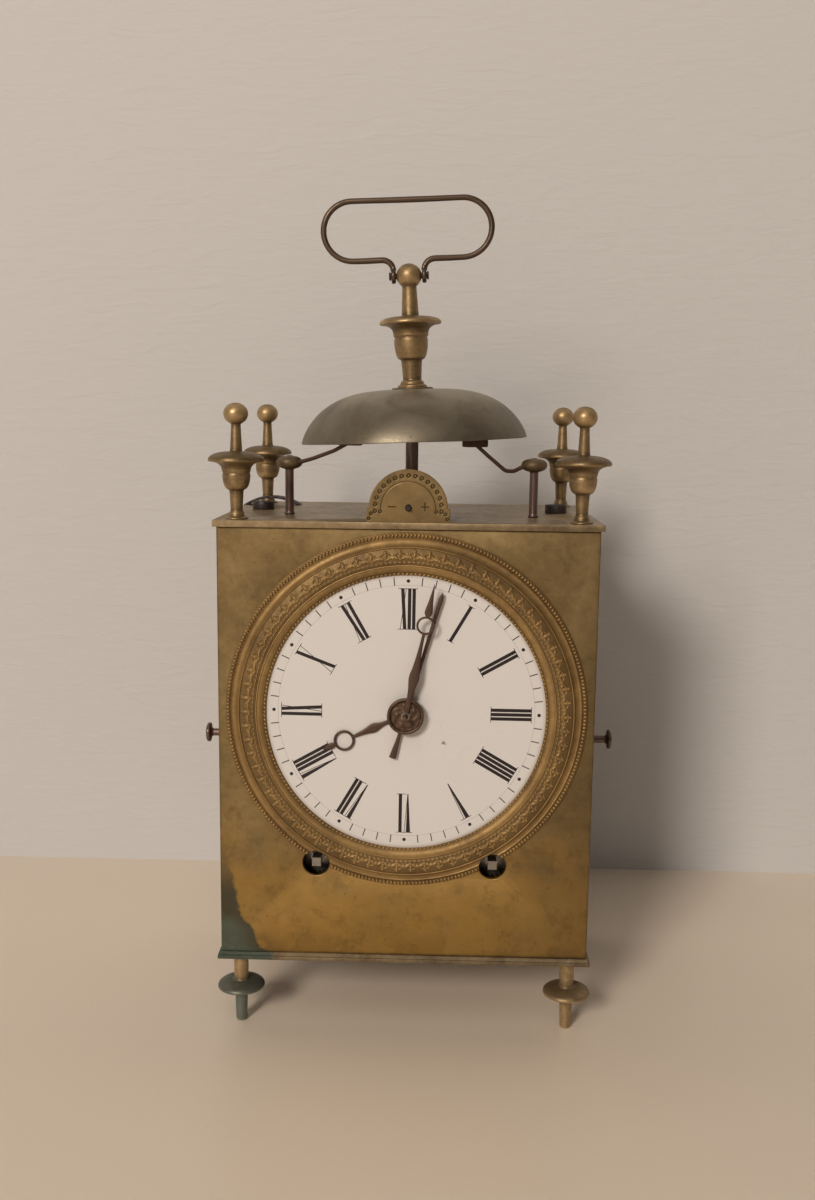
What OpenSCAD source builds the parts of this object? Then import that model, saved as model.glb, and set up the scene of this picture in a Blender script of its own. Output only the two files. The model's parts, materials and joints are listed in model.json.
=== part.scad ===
// Carriage clock: a brass box case on four turned feet, with four turned finials,
// a bell on a square standard, a wire bail, two hammers, and a pendulum movement
// with a going train, a strike train and an alarm.
//
// Frame: millimetres, +X to the right as seen from the dial side, +Y to the back,
// +Z up. The table is z = 0, and the origin is under the middle of the whole
// clock's outline. A depth is counted back from the front face of the case.

/* [Case] */
// Width of the case across its side doors
case_w = 130; // [129:0.5:132]
// Depth of the case over its front and back panels
case_d = 88; // [87:0.5:92]
// Height of the underside of the base plate above the table
base_z = 26.7; // [25:0.1:28]
// Height of the upper face of the top plate above the table
top_z = 183.5; // [183:0.1:185]
// Thickness of the top plate
top_t = 2.2; // [2:0.1:2.6]
// Thickness of the base plate
base_t = 2.5; // [2:0.1:2.6]
// Thickness of the front and back panels
panel_t = 1.5; // [1.2:0.1:1.6]
// Thickness of the side doors
door_t = 1.2; // [1:0.1:1.4]
// How far the top and base plates stand out past the panels
overhang = 1.2; // [0.8:0.1:1.6]

/* [Dial] */
// Height of the dial's centre above the table
dial_z = 118; // [117.5:0.1:118.5]
// Outer radius of the bezel
bezel_r = 62.3; // [61.5:0.1:62.6]
// Radius of the dial that shows inside the bezel
dial_r = 48; // [47:0.1:48.5]
// How far the bezel stands out from the front panel
bezel_h = 4.6; // [4.2:0.1:4.8]
// Distance of each winding hole from the middle line
winding_x = 31; // [31:0.1:31.4]
// Height of the winding holes above the table
winding_z = 63; // [62.8:0.1:63.2]
// Radius of the winding holes
winding_r = 4.8; // [4.4:0.1:5]

/* [Hands] */
// Length of the minute hand
minute_len = 46.5; // [44:0.5:47]
// Length of the hour hand
hour_len = 31; // [29:0.5:32]
// Length of the alarm hand's pointer
alarm_len = 44; // [42:0.5:45]
// Minutes past the hour that the minute hand shows
minutes_shown = 2.07; // [2:0.01:2.2]
// Angle of the hour hand, clockwise from twelve
hour_angle = 246; // [244:0.5:248]
// Angle of the alarm hand, clockwise from twelve
alarm_angle = 16; // [15:0.5:17]

/* [Bell and bail] */
// Radius of the bell's rim
bell_r = 41.4; // [41:0.1:42]
// Height of the bell's rim above the table
bell_z = 210; // [209.6:0.1:210.4]
// Height of the bell from its rim to its crown
bell_h = 18.6; // [18.4:0.1:18.8]
// Thickness of the bell's wall
bell_wall = 1.6; // [1.4:0.1:1.8]
// How far the bell and its finial lean to the left, in degrees
lean = 2.5; // [2:0.1:2.8]
// Half the outer width of the bail
bail_half_w = 31.4; // [30:0.1:32]
// Thickness of the bail's wire
bail_wire = 2.1; // [1.9:0.1:2.2]

/* [Hidden] */

$fn = 64;
brass = [0.60, 0.46, 0.22];
dark_brass = [0.46, 0.36, 0.20];
bell_metal = [0.42, 0.43, 0.38];
steel = [0.22, 0.17, 0.18];
brown_steel = [0.30, 0.20, 0.16];
enamel = [0.90, 0.88, 0.82];
silk = [0.80, 0.76, 0.62];

hand_reach = 10.6;                          // the centre pin in front of the case
finial_r = 9.65;                            // edge of a finial's flange
corner_x = case_w / 2 - 6;
corner_y = case_d / 2 - 6.5;
mid_y = (case_d / 2 + hand_reach - corner_y - finial_r) / 2;    // middle of the case, from above
front_y = mid_y - case_d / 2;
case_top = top_z - top_t;
case_floor = base_z + base_t;
inner_h = case_top - case_floor;
gap = 0.3;                                  // between pieces that move past each other
play = 0.08;                                // radial clearance of a running pivot

// depths of the movement, back from the front face of the case
plate_t = 2;
front_plate_d = 11;
back_plate_d = 51;
pivot_r = 0.8;

// ---------------------------------------------------------------- placing

// A flat shape drawn in x and z, thickened from depth d0 to depth d1
module slab(d0, d1) {
    translate([0, front_y + d1, 0]) rotate([90, 0, 0]) linear_extrude(d1 - d0) children();
}

// A round bar along the depth, centred on at = [x, z]
module bar(at, r, d0, d1) {
    translate([at[0], front_y + d0, at[1]]) rotate([-90, 0, 0]) cylinder(r = r, h = d1 - d0);
}

// The four corners of the case
module at_corners() {
    for (sx = [-1, 1], sy = [-1, 1])
        translate([sx * corner_x, mid_y + sy * corner_y, 0]) children();
}

// The frame of the leaning bell and everything that stands on it
module leaning() {
    translate([0, mid_y, lean_z]) rotate([0, -lean, 0]) translate([0, 0, -lean_z]) children();
}
lean_z = 226;

// ---------------------------------------------------------------- outlines

// Quarter of an ellipse from a to b: it leaves a sideways and reaches b going up
function bowl(a, b, steps = 6) = [for (i = [0:steps]) let (t = 90 * i / steps)
    [a[0] + (b[0] - a[0]) * sin(t), a[1] + (b[1] - a[1]) * (1 - cos(t))]];

// Quarter of an ellipse from a to b: it leaves a going up and reaches b sideways
function flare(a, b, steps = 6) = [for (i = [0:steps]) let (t = 90 * i / steps)
    [a[0] + (b[0] - a[0]) * (1 - cos(t)), a[1] + (b[1] - a[1]) * sin(t)]];

// Ball of radius r and half-height h above a neck of radius neck_r, ending on the axis
function ball(neck_r, z, r, h, steps = 12) = let (t0 = asin(neck_r / r))
    [for (i = [0:steps]) let (t = t0 + (180 - t0) * i / steps)
        [max(0, r * sin(t)), z - h * cos(t)]];

// A solid of revolution from an outline of [radius, height] points
module turned(points) {
    rotate_extrude() polygon(concat([[0, points[0][1]]], points));
}

// ---------------------------------------------------------------- wheels

function frac(x) = x - floor(x);
function angle_to(a, b) = atan2(b[1] - a[1], b[0] - a[0]);
function along(a, distance, angle) = a + distance * [cos(angle), sin(angle)];
function pitch_r(teeth, module_size) = teeth * module_size / 2;

// Angle of a tooth on wheel b so that it meshes with wheel a, whose tooth is at phase_a;
// the line from a to b lies at the angle phi
function meshed(phase_a, teeth_a, teeth_b, phi) =
    phi + 180 - (0.5 - frac((phi - phase_a) * teeth_a / 360)) * 360 / teeth_b;

// Outline of a wheel: each tooth has radial flanks and a tapered tip; the half-widths are
// shares of the pitch, and rise and fall are in modules
function toothed(teeth, m, phase, half, tip, rise, fall) = let (r = teeth * m / 2, p = 360 / teeth)
    [for (i = [0:teeth - 1], k = [[-half, -fall], [-half, 0], [-tip, rise],
            [tip, rise], [half, 0], [half, -fall]])
        let (a = phase + (i + k[0]) * p, d = r + k[1] * m) [d * cos(a), d * sin(a)]];

// A wheel with crossings: rim, spokes and hub, or a plain disc when spokes is 0
module wheel_2d(teeth, m, phase, hub_r, bore_r, spokes = 4) {
    rim_r = teeth * m / 2 - 1.1 * m - 1.6;
    difference() {
        polygon(toothed(teeth, m, phase, 0.20, 0.06, 0.85, 1.1));
        if (spokes > 0) difference() {
            circle(r = rim_r);
            circle(r = hub_r);
            for (i = [0:spokes - 1]) rotate(i * 360 / spokes + 45)
                translate([0, -0.8]) square([rim_r + 1, 1.6]);
        }
        if (bore_r > 0) circle(r = bore_r);
    }
}

module pinion_2d(leaves, m, phase) {
    polygon(toothed(leaves, m, phase, 0.17, 0.08, 0.4, 1.3));
}

// A wheel on a shaft at = [x, z], thickened from depth d0 to d1
module wheel(at, teeth, m, phase, d0, d1, hub_r = 3, bore_r = 0, spokes = 4) {
    slab(d0, d1) translate(at) wheel_2d(teeth, m, phase, hub_r, bore_r, spokes);
}

module pinion(at, leaves, m, phase, d0, d1) {
    slab(d0, d1) translate(at) pinion_2d(leaves, m, phase);
}

// An arbor between the movement's plates, with its two pivots
module arbor(at, r = 1.4) {
    bar(at, r, front_plate_d + plate_t + 0.4, back_plate_d - 0.4);
    bar(at, pivot_r, front_plate_d + 0.2, back_plate_d + plate_t - 0.2);
}

// ---------------------------------------------------------------- train layout

centre = [0, dial_z];

// The barrels drive the second wheels, and these drive the centre and pin wheels
barrel_teeth = 70;
barrel_leaves = 10;
barrel_m = 0.8;
barrel_step = pitch_r(barrel_teeth + barrel_leaves, barrel_m);
barrel_r = 24;
going_at = [winding_x, winding_z];
strike_at = [-winding_x, winding_z];

// A point at equal distances step from a and b, on the left of the line from a to b
function apex(a, b, step) = let (d = norm(b - a), h = sqrt(step * step - d * d / 4), u = (b - a) / d)
    (a + b) / 2 + h * [-u[1], u[0]];

second_at = apex(centre, going_at, barrel_step);
second_phase = meshed(0, barrel_teeth, barrel_leaves, angle_to(going_at, second_at));
centre_phase = meshed(second_phase, barrel_teeth, barrel_leaves, angle_to(second_at, centre));

centre_teeth = 96;
centre_m = 0.46;
small_leaves = 8;
third_at = along(centre, pitch_r(centre_teeth + small_leaves, centre_m), 60);
third_phase = meshed(centre_phase, centre_teeth, small_leaves, angle_to(centre, third_at));
third_teeth = 92;
third_m = 0.42;
escape_step = pitch_r(third_teeth + small_leaves, third_m);
escape_at = [0, third_at[1] + sqrt(escape_step * escape_step - third_at[0] * third_at[0])];
escape_phase = meshed(third_phase, third_teeth, small_leaves, angle_to(third_at, escape_at));
escape_teeth = 36;
escape_r = 9.6;
anchor_at = [0, escape_at[1] + 13.6];

strike_second_at = [-second_at[0], second_at[1]];
strike_second_phase = meshed(0, barrel_teeth, barrel_leaves, angle_to(strike_at, strike_second_at));
pin_at = along(strike_second_at, barrel_step, 124);
pin_phase = meshed(strike_second_phase, barrel_teeth, barrel_leaves, angle_to(strike_second_at, pin_at));
pin_teeth = 64;
pin_m = 0.6;
warning_at = along(pin_at, pitch_r(pin_teeth + small_leaves, pin_m), 51);
warning_phase = meshed(pin_phase, pin_teeth, small_leaves, angle_to(pin_at, warning_at));
warning_teeth = 60;
warning_m = 0.5;
fly_at = along(warning_at, pitch_r(warning_teeth + small_leaves, warning_m), 102);
fly_phase = meshed(warning_phase, warning_teeth, small_leaves, angle_to(warning_at, fly_at));
count_teeth = 90;
count_leaves = 10;
count_m = 0.4;
count_at = along(pin_at, pitch_r(count_teeth + count_leaves, count_m), -66);

// Motion work: cannon pinion, minute wheel with its pinion, and hour wheel
cannon_leaves = 12;
minute_teeth = 36;
cannon_m = 0.6;
nut_leaves = 10;
hour_teeth = 40;
motion_step = pitch_r(cannon_leaves + minute_teeth, cannon_m);
hour_m = 2 * motion_step / (nut_leaves + hour_teeth);
minute_at = along(centre, motion_step, 180);
minute_phase = meshed(0, cannon_leaves, minute_teeth, 180);
hour_phase = meshed(minute_phase, nut_leaves, hour_teeth, 0);

// Alarm work
alarm_at = [46, 117];
alarm_teeth = 48;
alarm_m = 0.5;
alarm_wheel_at = along(alarm_at, pitch_r(alarm_teeth + small_leaves, alarm_m), 90);
alarm_phase = meshed(0, alarm_teeth, small_leaves, 90);

// Hammers: upright arbors outside the bell
strike_arbor_xy = [-43.5, mid_y - 16];
alarm_arbor_xy = [44, mid_y - 16];
arbor_r = 1.55;
arbor_foot_z = 142;
collet_z = 202;

// Slow and fast arbor, and the pendulum that hangs from it
regulator_z = 188.3;
pendulum_d = 66;
silk_len = 17;
bob_z = 60;

// ---------------------------------------------------------------- case

module front_panel() {
    color(brass) difference() {
        slab(0, panel_t) translate([-case_w / 2, case_floor]) square([case_w, inner_h]);
        bar(centre, dial_r - 3, -1, panel_t + 1);
        for (x = [-winding_x, winding_x]) bar([x, winding_z], winding_r, -1, panel_t + 1);
    }
}

module back_panel() {
    color(brass) difference() {
        slab(case_d - panel_t, case_d) translate([-case_w / 2, case_floor]) square([case_w, inner_h]);
        bar(alarm_at, 4, case_d - panel_t - 1, case_d + 1);
    }
}

// A plate over or under the case: lip is how far it stands out past the panels
module cover(z, t, lip) {
    translate([-case_w / 2 - lip, mid_y - case_d / 2 - lip, z]) cube([case_w + 2 * lip, case_d + 2 * lip, t]);
}

door_pin_r = 0.8;
door_axis_x = case_w / 2 - 1.5;
door_axis_y = mid_y + case_d / 2 - panel_t - 1.8;

module top_plate() {
    color(dark_brass) difference() {
        cover(case_top, top_t, overhang);
        at_corners() translate([0, 0, case_top - 1]) cylinder(r = 1.5, h = top_t + 2);
        translate([0, mid_y, case_top - 1]) cylinder(r = 1.8, h = top_t + 2);
        for (at = [strike_arbor_xy, alarm_arbor_xy])
            translate([at[0], at[1], case_top - 1]) cylinder(r = arbor_r + play, h = top_t + 2);
        translate([-5, front_y + pendulum_d - 2, case_top - 1]) cube([10, 4, top_t + 2]);
        for (x = [-screw_left_x, screw_right_x])
            translate([x, screw_y, case_top - 1]) cylinder(r = 1.5, h = top_t + 2);
        for (s = [-1, 1]) translate([s * door_axis_x, door_axis_y, case_top - 1])
            cylinder(r = door_pin_r, h = 1.6 + 1);
    }
}

module base_plate() {
    step = base_t / 2;
    color(brass) difference() {
        union() {
            cover(base_z, step, overhang);
            cover(base_z + step, base_t - step, overhang / 2);
        }
        at_corners() translate([0, 0, base_z - 1]) cylinder(r = 1.5, h = base_t + 2);
        for (s = [-1, 1]) translate([s * door_axis_x, door_axis_y, case_floor - 1.6])
            cylinder(r = door_pin_r, h = 1.6 + 1);
    }
}

// Posts that join the base plate to the top plate; their studs take the feet and finials
module case_pillars() {
    color(brass) at_corners() {
        translate([0, 0, case_floor]) cylinder(r = 2.5, h = inner_h);
        translate([0, 0, base_z - 5]) cylinder(r = 1.4, h = top_z - base_z + 10);
    }
}

finial_ball_r = 4.2;

module finial() {
    difference() {
        turned(concat([[4.0, 0], [4.0, 0.6]],
            flare([2.7, 0.8], [2.0, 2.7], 3), [[2.4, 9.6]],
            bowl([2.6, 9.9], [4.8, 15.1]), [[4.5, 15.6], [4.9, 16.0], [4.9, 16.7]],
            flare([5.0, 17.1], [finial_r, 19.6]), [[finial_r, 20.1]],
            [for (i = [1:6]) let (t = 15 * i) [2.15 + 7.4 * cos(t), 20.2 + 2.7 * sin(t)]],
            [[1.6, 31.9]], ball(1.6, 35.6, finial_ball_r, 3.7)));
        translate([0, 0, -1]) cylinder(r = 1.5, h = 6.5);
    }
}

module finials() {
    color(brass) at_corners() translate([0, 0, top_z]) finial();
}

module foot() {
    difference() {
        turned(concat([[1.5, 0]], bowl([1.5, 0], [2.0, 0.7], 3), [[2.3, 11.6]],
            flare([2.9, 12.2], [8.5, 14.0]), [[8.5, 14.6]],
            [for (i = [1:6]) let (t = 15 * i) [2.7 + 5.7 * cos(t), 14.7 + 1.9 * sin(t)]],
            [[2.55, 17.4], [2.65, base_z]]));
        translate([0, 0, base_z - 5.5]) cylinder(r = 1.5, h = 7);
    }
}

module feet() {
    color(brass) at_corners() foot();
}

// Ring of the bezel: a beaded rim, a cove, the stamped band, a slope and an inner bead
module bezel() {
    face = front_y;
    color(brass) difference() {
        translate([0, face, dial_z]) rotate([90, 0, 0]) rotate_extrude()
            polygon(concat([[dial_r + 3, 0], [bezel_r, 0]],
                [for (i = [0:6]) let (t = 30 * i) [bezel_r - 1.35 + 1.35 * cos(t), 1.7 + 1.35 * sin(t)]],
                [[59.0, 1.7], [57.9, 2.1], [56.6, 3.4], [56.2, 4.1],
                 [55.9, bezel_h - 0.2], [54.0, bezel_h], [52.0, bezel_h - 0.2],
                 [51.6, 3.9], [50.9, 3.7], [49.3, 2.9],
                 [48.9, 3.3], [48.4, 3.3], [dial_r, 2.8], [dial_r, 2.4], [dial_r + 3, 2.4]]));
        for (x = [-winding_x, winding_x]) bar([x, winding_z], winding_r, -bezel_h - 1, 1);
    }
}

dial_t = 2.2;

module dial() {
    color(enamel) difference() {
        bar(centre, dial_r + 2.7, -dial_t, 0);
        bar(centre, 3.6, -dial_t - 1, 1);
    }
}

// ---------------------------------------------------------------- on the top plate

regulator_r = 13.4;

module regulator_plate() {
    color(brass) difference() {
        slab(1.2, 2.4) {
            intersection() {
                translate([0, 187.9]) circle(r = regulator_r);
                translate([-20, 187.9]) square([40, 20]);
            }
            translate([-14.2, top_z]) square([28.4, 4.6]);
        }
        bar([0, regulator_z], 1 + play, 0, 4);
    }
}

screw_left_x = 56;
screw_right_x = 54;
screw_y = mid_y + 5;

module top_plate_screws() {
    color(steel) for (x = [-screw_left_x, screw_right_x]) translate([x, screw_y, 0]) {
        difference() {
            translate([0, 0, top_z]) cylinder(r = 4, h = 3);
            translate([-5, -0.5, top_z + 2]) cube([10, 1, 2]);
        }
        translate([0, 0, case_top - 4]) cylinder(r = 1.4, h = top_t + 4.5);
    }
}

// Arched strip of spring steel that bears on the top plate with its two ends
module bow_spring() {
    span = 23;
    rise = 3.6;
    bow_r = (span * span / 4 + rise * rise) / (2 * rise);
    color(steel) intersection() {
        translate([-55.5, mid_y + 31.5, top_z + rise - bow_r]) rotate([90, 0, 0]) difference() {
            cylinder(r = bow_r, h = 7);
            translate([0, 0, -1]) cylinder(r = bow_r - 1.1, h = 9);
        }
        translate([-55.5 - span, mid_y + 20, top_z]) cube([2 * span, 15, 10]);
    }
}

standard_w = 4.6;

module bell_standard() {
    color(steel) difference() {
        union() {
            translate([-standard_w / 2, mid_y - standard_w / 2, top_z]) cube([standard_w, standard_w, 42.5]);
            translate([0, mid_y, case_top - 5]) cylinder(r = 1.7, h = top_t + 6);
            translate([0, mid_y, case_top - 3.2]) cylinder(r = 4.2, h = 3.2, $fn = 6);
        }
        bar([0, regulator_z], 1 + play, 0, case_d);
    }
}

// Outline of the bell's outer skin at radius r
function bell_skin(r) = bell_z + bell_h * pow(max(0, 1 - pow(r / bell_r, 3.5)), 1 / 1.41);

module bell() {
    steps = 14;
    hole = 2;
    rows = [for (i = [0:steps]) let (s = 1 - i / steps) hole + (bell_r - hole) * (1 - s * s)];
    inner = bell_r - bell_wall;
    color(bell_metal) leaning() rotate_extrude() polygon(concat(
        [for (r = rows) [r, bell_skin(r)]],
        [for (i = [steps:-1:0]) let (r = hole + (rows[i] - hole) * (inner - hole) / (bell_r - hole))
            [r, bell_skin(r * bell_r / inner) - bell_wall * (1 - pow(r / inner, 6))]]));
}

module bell_washer() {
    color(dark_brass) leaning() translate([0, 0, bell_z + bell_h]) difference() {
        cylinder(r = 7.6, h = 0.6);
        translate([0, 0, -1]) cylinder(r = 2, h = 3);
    }
}

bell_finial_z = bell_z + bell_h + 0.6;
bail_pivot_z = 269;

module bell_finial() {
    color(brass) leaning() difference() {
        union() {
            translate([0, 0, bell_finial_z]) turned(concat([[5.4, 0], [5.4, 0.9]],
                flare([4.4, 1.2], [3.3, 2.6], 3), [[3.8, 9.8]],
                bowl([4.25, 10.1], [6.2, 17.3]), [[5.9, 17.9], [6.4, 18.4], [6.4, 19.5]],
                flare([6.5, 20.0], [11.3, 22.7]), [[11.3, 23.3]],
                [for (i = [1:6]) let (t = 15 * i) [3.25 + 8.0 * cos(t), 23.4 + 2.1 * sin(t)]],
                [[2.55, 35.7]], ball(2.55, bail_pivot_z - bell_finial_z, 4.6, 4.4)));
            translate([0, 0, lean_z + gap / 2]) cylinder(r = 1.9, h = bell_finial_z - lean_z + 2);
        }
        translate([-10, 0, bail_pivot_z]) rotate([0, 90, 0]) cylinder(r = 1.1, h = 20);
    }
}

module bail_pivot() {
    color(steel) leaning() translate([-7.2, 0, bail_pivot_z]) rotate([0, 90, 0]) {
        cylinder(r = 1.05, h = 14.4);
        for (z = [0, 13.7]) translate([0, 0, z]) cylinder(r = 1.5, h = 0.7);
    }
}

// ---------------------------------------------------------------- bail

bail_rail_z = 275;
bail_top_z = 295.8;
bail_eye_x = 5.55;
bail_neck_r = 4;

// A quarter or half turn of wire in the plane of x and z
module bend(at, r, from, sweep) {
    translate([at[0], 0, at[1]]) rotate([90, 0, 0]) rotate(from) rotate_extrude(angle = sweep)
        translate([r, 0]) circle(d = bail_wire, $fn = 20);
}

module wire(a, b) {
    run = norm(b - a);
    translate([a[0], 0, a[1]]) rotate([0, 90 - atan2(b[1] - a[1], b[0] - a[0]), 0])
        cylinder(d = bail_wire, h = run, $fn = 20);
}

module bail_handle() {
    end_r = (bail_top_z - bail_rail_z) / 2;
    mid_z = (bail_top_z + bail_rail_z) / 2;
    end_x = bail_half_w - bail_wire / 2 - end_r;
    neck_x = bail_eye_x + bail_neck_r;
    color(brown_steel) leaning() translate([0, 0, 0]) {
        wire([-end_x, bail_top_z], [end_x, bail_top_z]);
        for (s = [-1, 1]) {
            bend([s * end_x, mid_z], end_r, s > 0 ? -90 : 90, 180);
            wire([s * neck_x, bail_rail_z], [s * end_x, bail_rail_z]);
            bend([s * neck_x, bail_rail_z - bail_neck_r], bail_neck_r, s > 0 ? 90 : 0, 90);
            difference() {
                union() {
                    translate([s * bail_eye_x - 0.8, -1.6, bail_pivot_z - 3.2])
                        cube([1.6, 3.2, bail_rail_z - bail_neck_r - bail_pivot_z + 3.2]);
                    wire([s * bail_eye_x, bail_pivot_z + 1.6], [s * bail_eye_x, bail_rail_z - bail_neck_r]);
                }
                translate([s * bail_eye_x - 2, 0, bail_pivot_z]) rotate([0, 90, 0])
                    cylinder(r = 1.05 + play, h = 4);
            }
        }
    }
}

// ---------------------------------------------------------------- doors

door_z = case_floor + gap;
door_h = inner_h - 2 * gap;
knob_z = 100;
knob_y = mid_y - 8.4;

module door_pins() {
    color(steel) for (s = [-1, 1], z = [case_floor - 1.6, case_top - 5]) translate([s * door_axis_x, door_axis_y, z])
        cylinder(r = door_pin_r, h = 6.6);
}

// A side door, s = -1 on the left and 1 on the right, with its hinge barrel at the back
module door(s) {
    edge_y = front_y + panel_t + gap;
    color(brass) difference() {
        union() {
            translate([s > 0 ? case_w / 2 - door_t : -case_w / 2, edge_y, door_z])
                cube([door_t, door_axis_y - edge_y, door_h]);
            translate([s * door_axis_x, door_axis_y, door_z]) cylinder(r = 1.5, h = door_h);
        }
        for (z = [door_z - 1, door_z + door_h - 5.4]) translate([s * door_axis_x, door_axis_y, z])
            cylinder(r = door_pin_r + play, h = 6.4);
        translate([s * case_w / 2, knob_y, knob_z]) rotate([0, 90, 0]) cylinder(r = 1.25, h = 6, center = true);
    }
}

module left_door() { door(-1); }
module right_door() { door(1); }

// A turned pull, riveted through its door
module door_knob(s) {
    color(brass) translate([s * case_w / 2, knob_y, knob_z]) rotate([0, s * 90, 0]) {
        turned(concat([[1.9, 0], [1.9, 0.5], [1.5, 0.9], [1.35, 8.6]],
            flare([1.6, 8.9], [3.4, 9.5], 3), [[3.6, 9.9], [3.6, 10.4]],
            [for (i = [1:4]) let (t = 22.5 * i) [max(0, 3.5 * cos(t)), 10.5 + 0.8 * sin(t)]]));
        translate([0, 0, -door_t - 0.6]) cylinder(r = 1.2, h = door_t + 1);
        translate([0, 0, -door_t - 1.1]) cylinder(r = 2, h = 1.1);
    }
}

module left_door_knob() { door_knob(-1); }
module right_door_knob() { door_knob(1); }

// ---------------------------------------------------------------- hammers

// An upright arbor through the top plate with its collet, and a lifting tail at its foot
module hammer_arbor(xy) {
    color(brown_steel) translate([xy[0], xy[1], 0]) {
        translate([0, 0, arbor_foot_z]) cylinder(r = arbor_r, h = collet_z - arbor_foot_z);
        translate([0, 0, top_z + 0.4]) cylinder(r = 2.6, h = 1.2);
        translate([0, 0, collet_z]) turned(bowl_collet());
        translate([-1, -9, arbor_foot_z + 2]) cube([2, 9, 3]);
    }
}

// Outline of the oval collet that clamps the hammer's arm
function bowl_collet() = concat([[1.6, -2.2]],
    [for (i = [0:8]) let (t = -67.5 + 135 * i / 8) [2 + 2.6 * cos(t), 2.2 * sin(t)]], [[1.6, 2.3], [0, 2.6]]);

module strike_hammer_arbor() { hammer_arbor(strike_arbor_xy); }
module alarm_hammer_arbor() { hammer_arbor(alarm_arbor_xy); }

// A rod of radius r from a to b, both [x, y, z]
module rod(a, b, r) {
    v = b - a;
    translate(a) rotate([0, acos(v[2] / norm(v)), atan2(v[1], v[0])]) cylinder(r = r, h = norm(v), $fn = 24);
}

// Arm from the collet through its points, joined by balls, with a flat bar as its head
module hammer(points, head_turn) {
    last = points[len(points) - 1];
    color(brown_steel) {
        for (i = [0:len(points) - 2]) rod(points[i], points[i + 1], arm_r);
        for (i = [1:len(points) - 1]) translate(points[i]) sphere(r = joint_r, $fn = 24);
        translate(last) rotate([0, 0, head_turn]) translate([-head_len / 2, -1.2, -1.1]) cube([head_len, 2.4, 2.6]);
    }
}
arm_r = 0.72;
joint_r = 0.8;
head_len = 9.5;

module strike_hammer() {
    x = strike_arbor_xy[0];
    y = strike_arbor_xy[1];
    hammer([[x + 4.2, y - 2.2, collet_z + 0.6], [x + 9, y - 5, collet_z + 1.2],
        [x + 17, y - 9.6, collet_z + 4.0], [x + 22.5, y - 12.6, collet_z + 7.2]], -29);
}

module alarm_hammer() {
    x = alarm_arbor_xy[0];
    y = alarm_arbor_xy[1];
    hammer([[x - 4.2, y - 2.2, collet_z - 0.4], [x - 7.5, y - 4.4, collet_z - 2.0],
        [x - 10.5, y - 6.2, collet_z - 1.8], [x - 17, y - 9.8, collet_z + 3.6],
        [x - 21.5, y - 12.0, collet_z + 7.6]], 29);
}

// ---------------------------------------------------------------- hands

hour_hand_d = -3.6;
alarm_hand_d = -4.8;
minute_hand_d = -9;
boss_d = minute_hand_d + 2.55;
hand_t = 0.8;

// A hand's outline pointing up: rows of [height, half-width], mirrored about its middle
module blade(rows) {
    n = len(rows);
    polygon(concat([for (r = rows) [r[1], r[0]]], [for (i = [n - 1:-1:0]) [-rows[i][1], rows[i][0]]]));
}

module ring(z, outer, inner) {
    translate([0, z]) difference() {
        circle(r = outer);
        circle(r = inner);
    }
}

module minute_hand() {
    ring_z = 32.2;
    color(brown_steel) slab(minute_hand_d, minute_hand_d + hand_t) translate(centre) rotate(-minutes_shown * 6) {
        blade([[4.2, 0.95], [7, 0.9], [10, 1.25], [13.5, 1.75], [16, 1.5], [20, 0.9],
            [25, 0.55], [ring_z - 2.8, 0.55]]);
        ring(ring_z, 3.15, 2.4);
        blade([[ring_z + 2.8, 0.6], [ring_z + 3.6, 1.3], [ring_z + 5, 1.25], [40, 0.8], [minute_len, 0.1]]);
    }
}

module hour_hand() {
    ring_z = 23.2;
    color(brown_steel) slab(hour_hand_d, hour_hand_d + hand_t) translate(centre) {
        ring(0, 5.4, 2.6);
        rotate(-hour_angle) {
            blade([[5, 0.7], [8, 0.75], [11, 1.5], [13, 1.55], [16.5, 0.8], [ring_z - 3.2, 0.5]]);
            ring(ring_z, 3.65, 2.75);
            blade([[ring_z + 3.2, 0.6], [ring_z + 4, 1.1], [ring_z + 5.2, 1.0], [hour_len, 0.15]]);
        }
    }
}

module alarm_hand() {
    color(brown_steel) slab(alarm_hand_d, alarm_hand_d + hand_t) translate(centre) {
        ring(0, 5.4, 2.6 + play);
        rotate(-alarm_angle) {
            blade([[5, 0.6], [alarm_len - 4, 0.7], [alarm_len - 1.6, 0.7], [alarm_len, 0.15]]);
            blade([[-16, 1.2], [-5, 0.55]]);
        }
    }
}

// Dished rosette and pin in front of the minute hand, on the end of the cannon
module hand_boss() {
    color(brown_steel) {
        translate([0, front_y + boss_d, dial_z]) rotate([90, 0, 0]) difference() {
            turned([[2.2, 0], [6.3, 0.4], [6.3, 1.7], [5.4, 1.75], [5.0, 1.2], [0, 1.2]]);
            translate([0, 0, -1]) cylinder(r = 1.0, h = 6);
        }
        bar(centre, 1.0, -hand_reach, boss_d);
    }
}

// ---------------------------------------------------------------- motion work

module centre_arbor() {
    color(steel) {
        bar(centre, 1.6, 5, back_plate_d - 0.4);
        bar(centre, 1.0, boss_d, back_plate_d + plate_t - 0.2);
        bar(centre, 1.5, boss_d, 5.2);
        pinion(centre, cannon_leaves, cannon_m, 0, 8.3, 10.4);
        pinion(centre, barrel_leaves, barrel_m, centre_phase, 37.6, 41.4);
    }
}

module centre_wheel() {
    color(brass) wheel(centre, centre_teeth, centre_m, centre_phase, 20, 21.4, 4, 1.6);
}

module hour_wheel() {
    color(brass) {
        difference() {
            union() {
                wheel(centre, hour_teeth, hour_m, hour_phase, 5.8, 7, 4, 0, 0);
                bar(centre, 2.6, alarm_hand_d - 0.1, 7);
            }
            bar(centre, 1.6 + play, alarm_hand_d - 1, 8);
        }
    }
}

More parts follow.
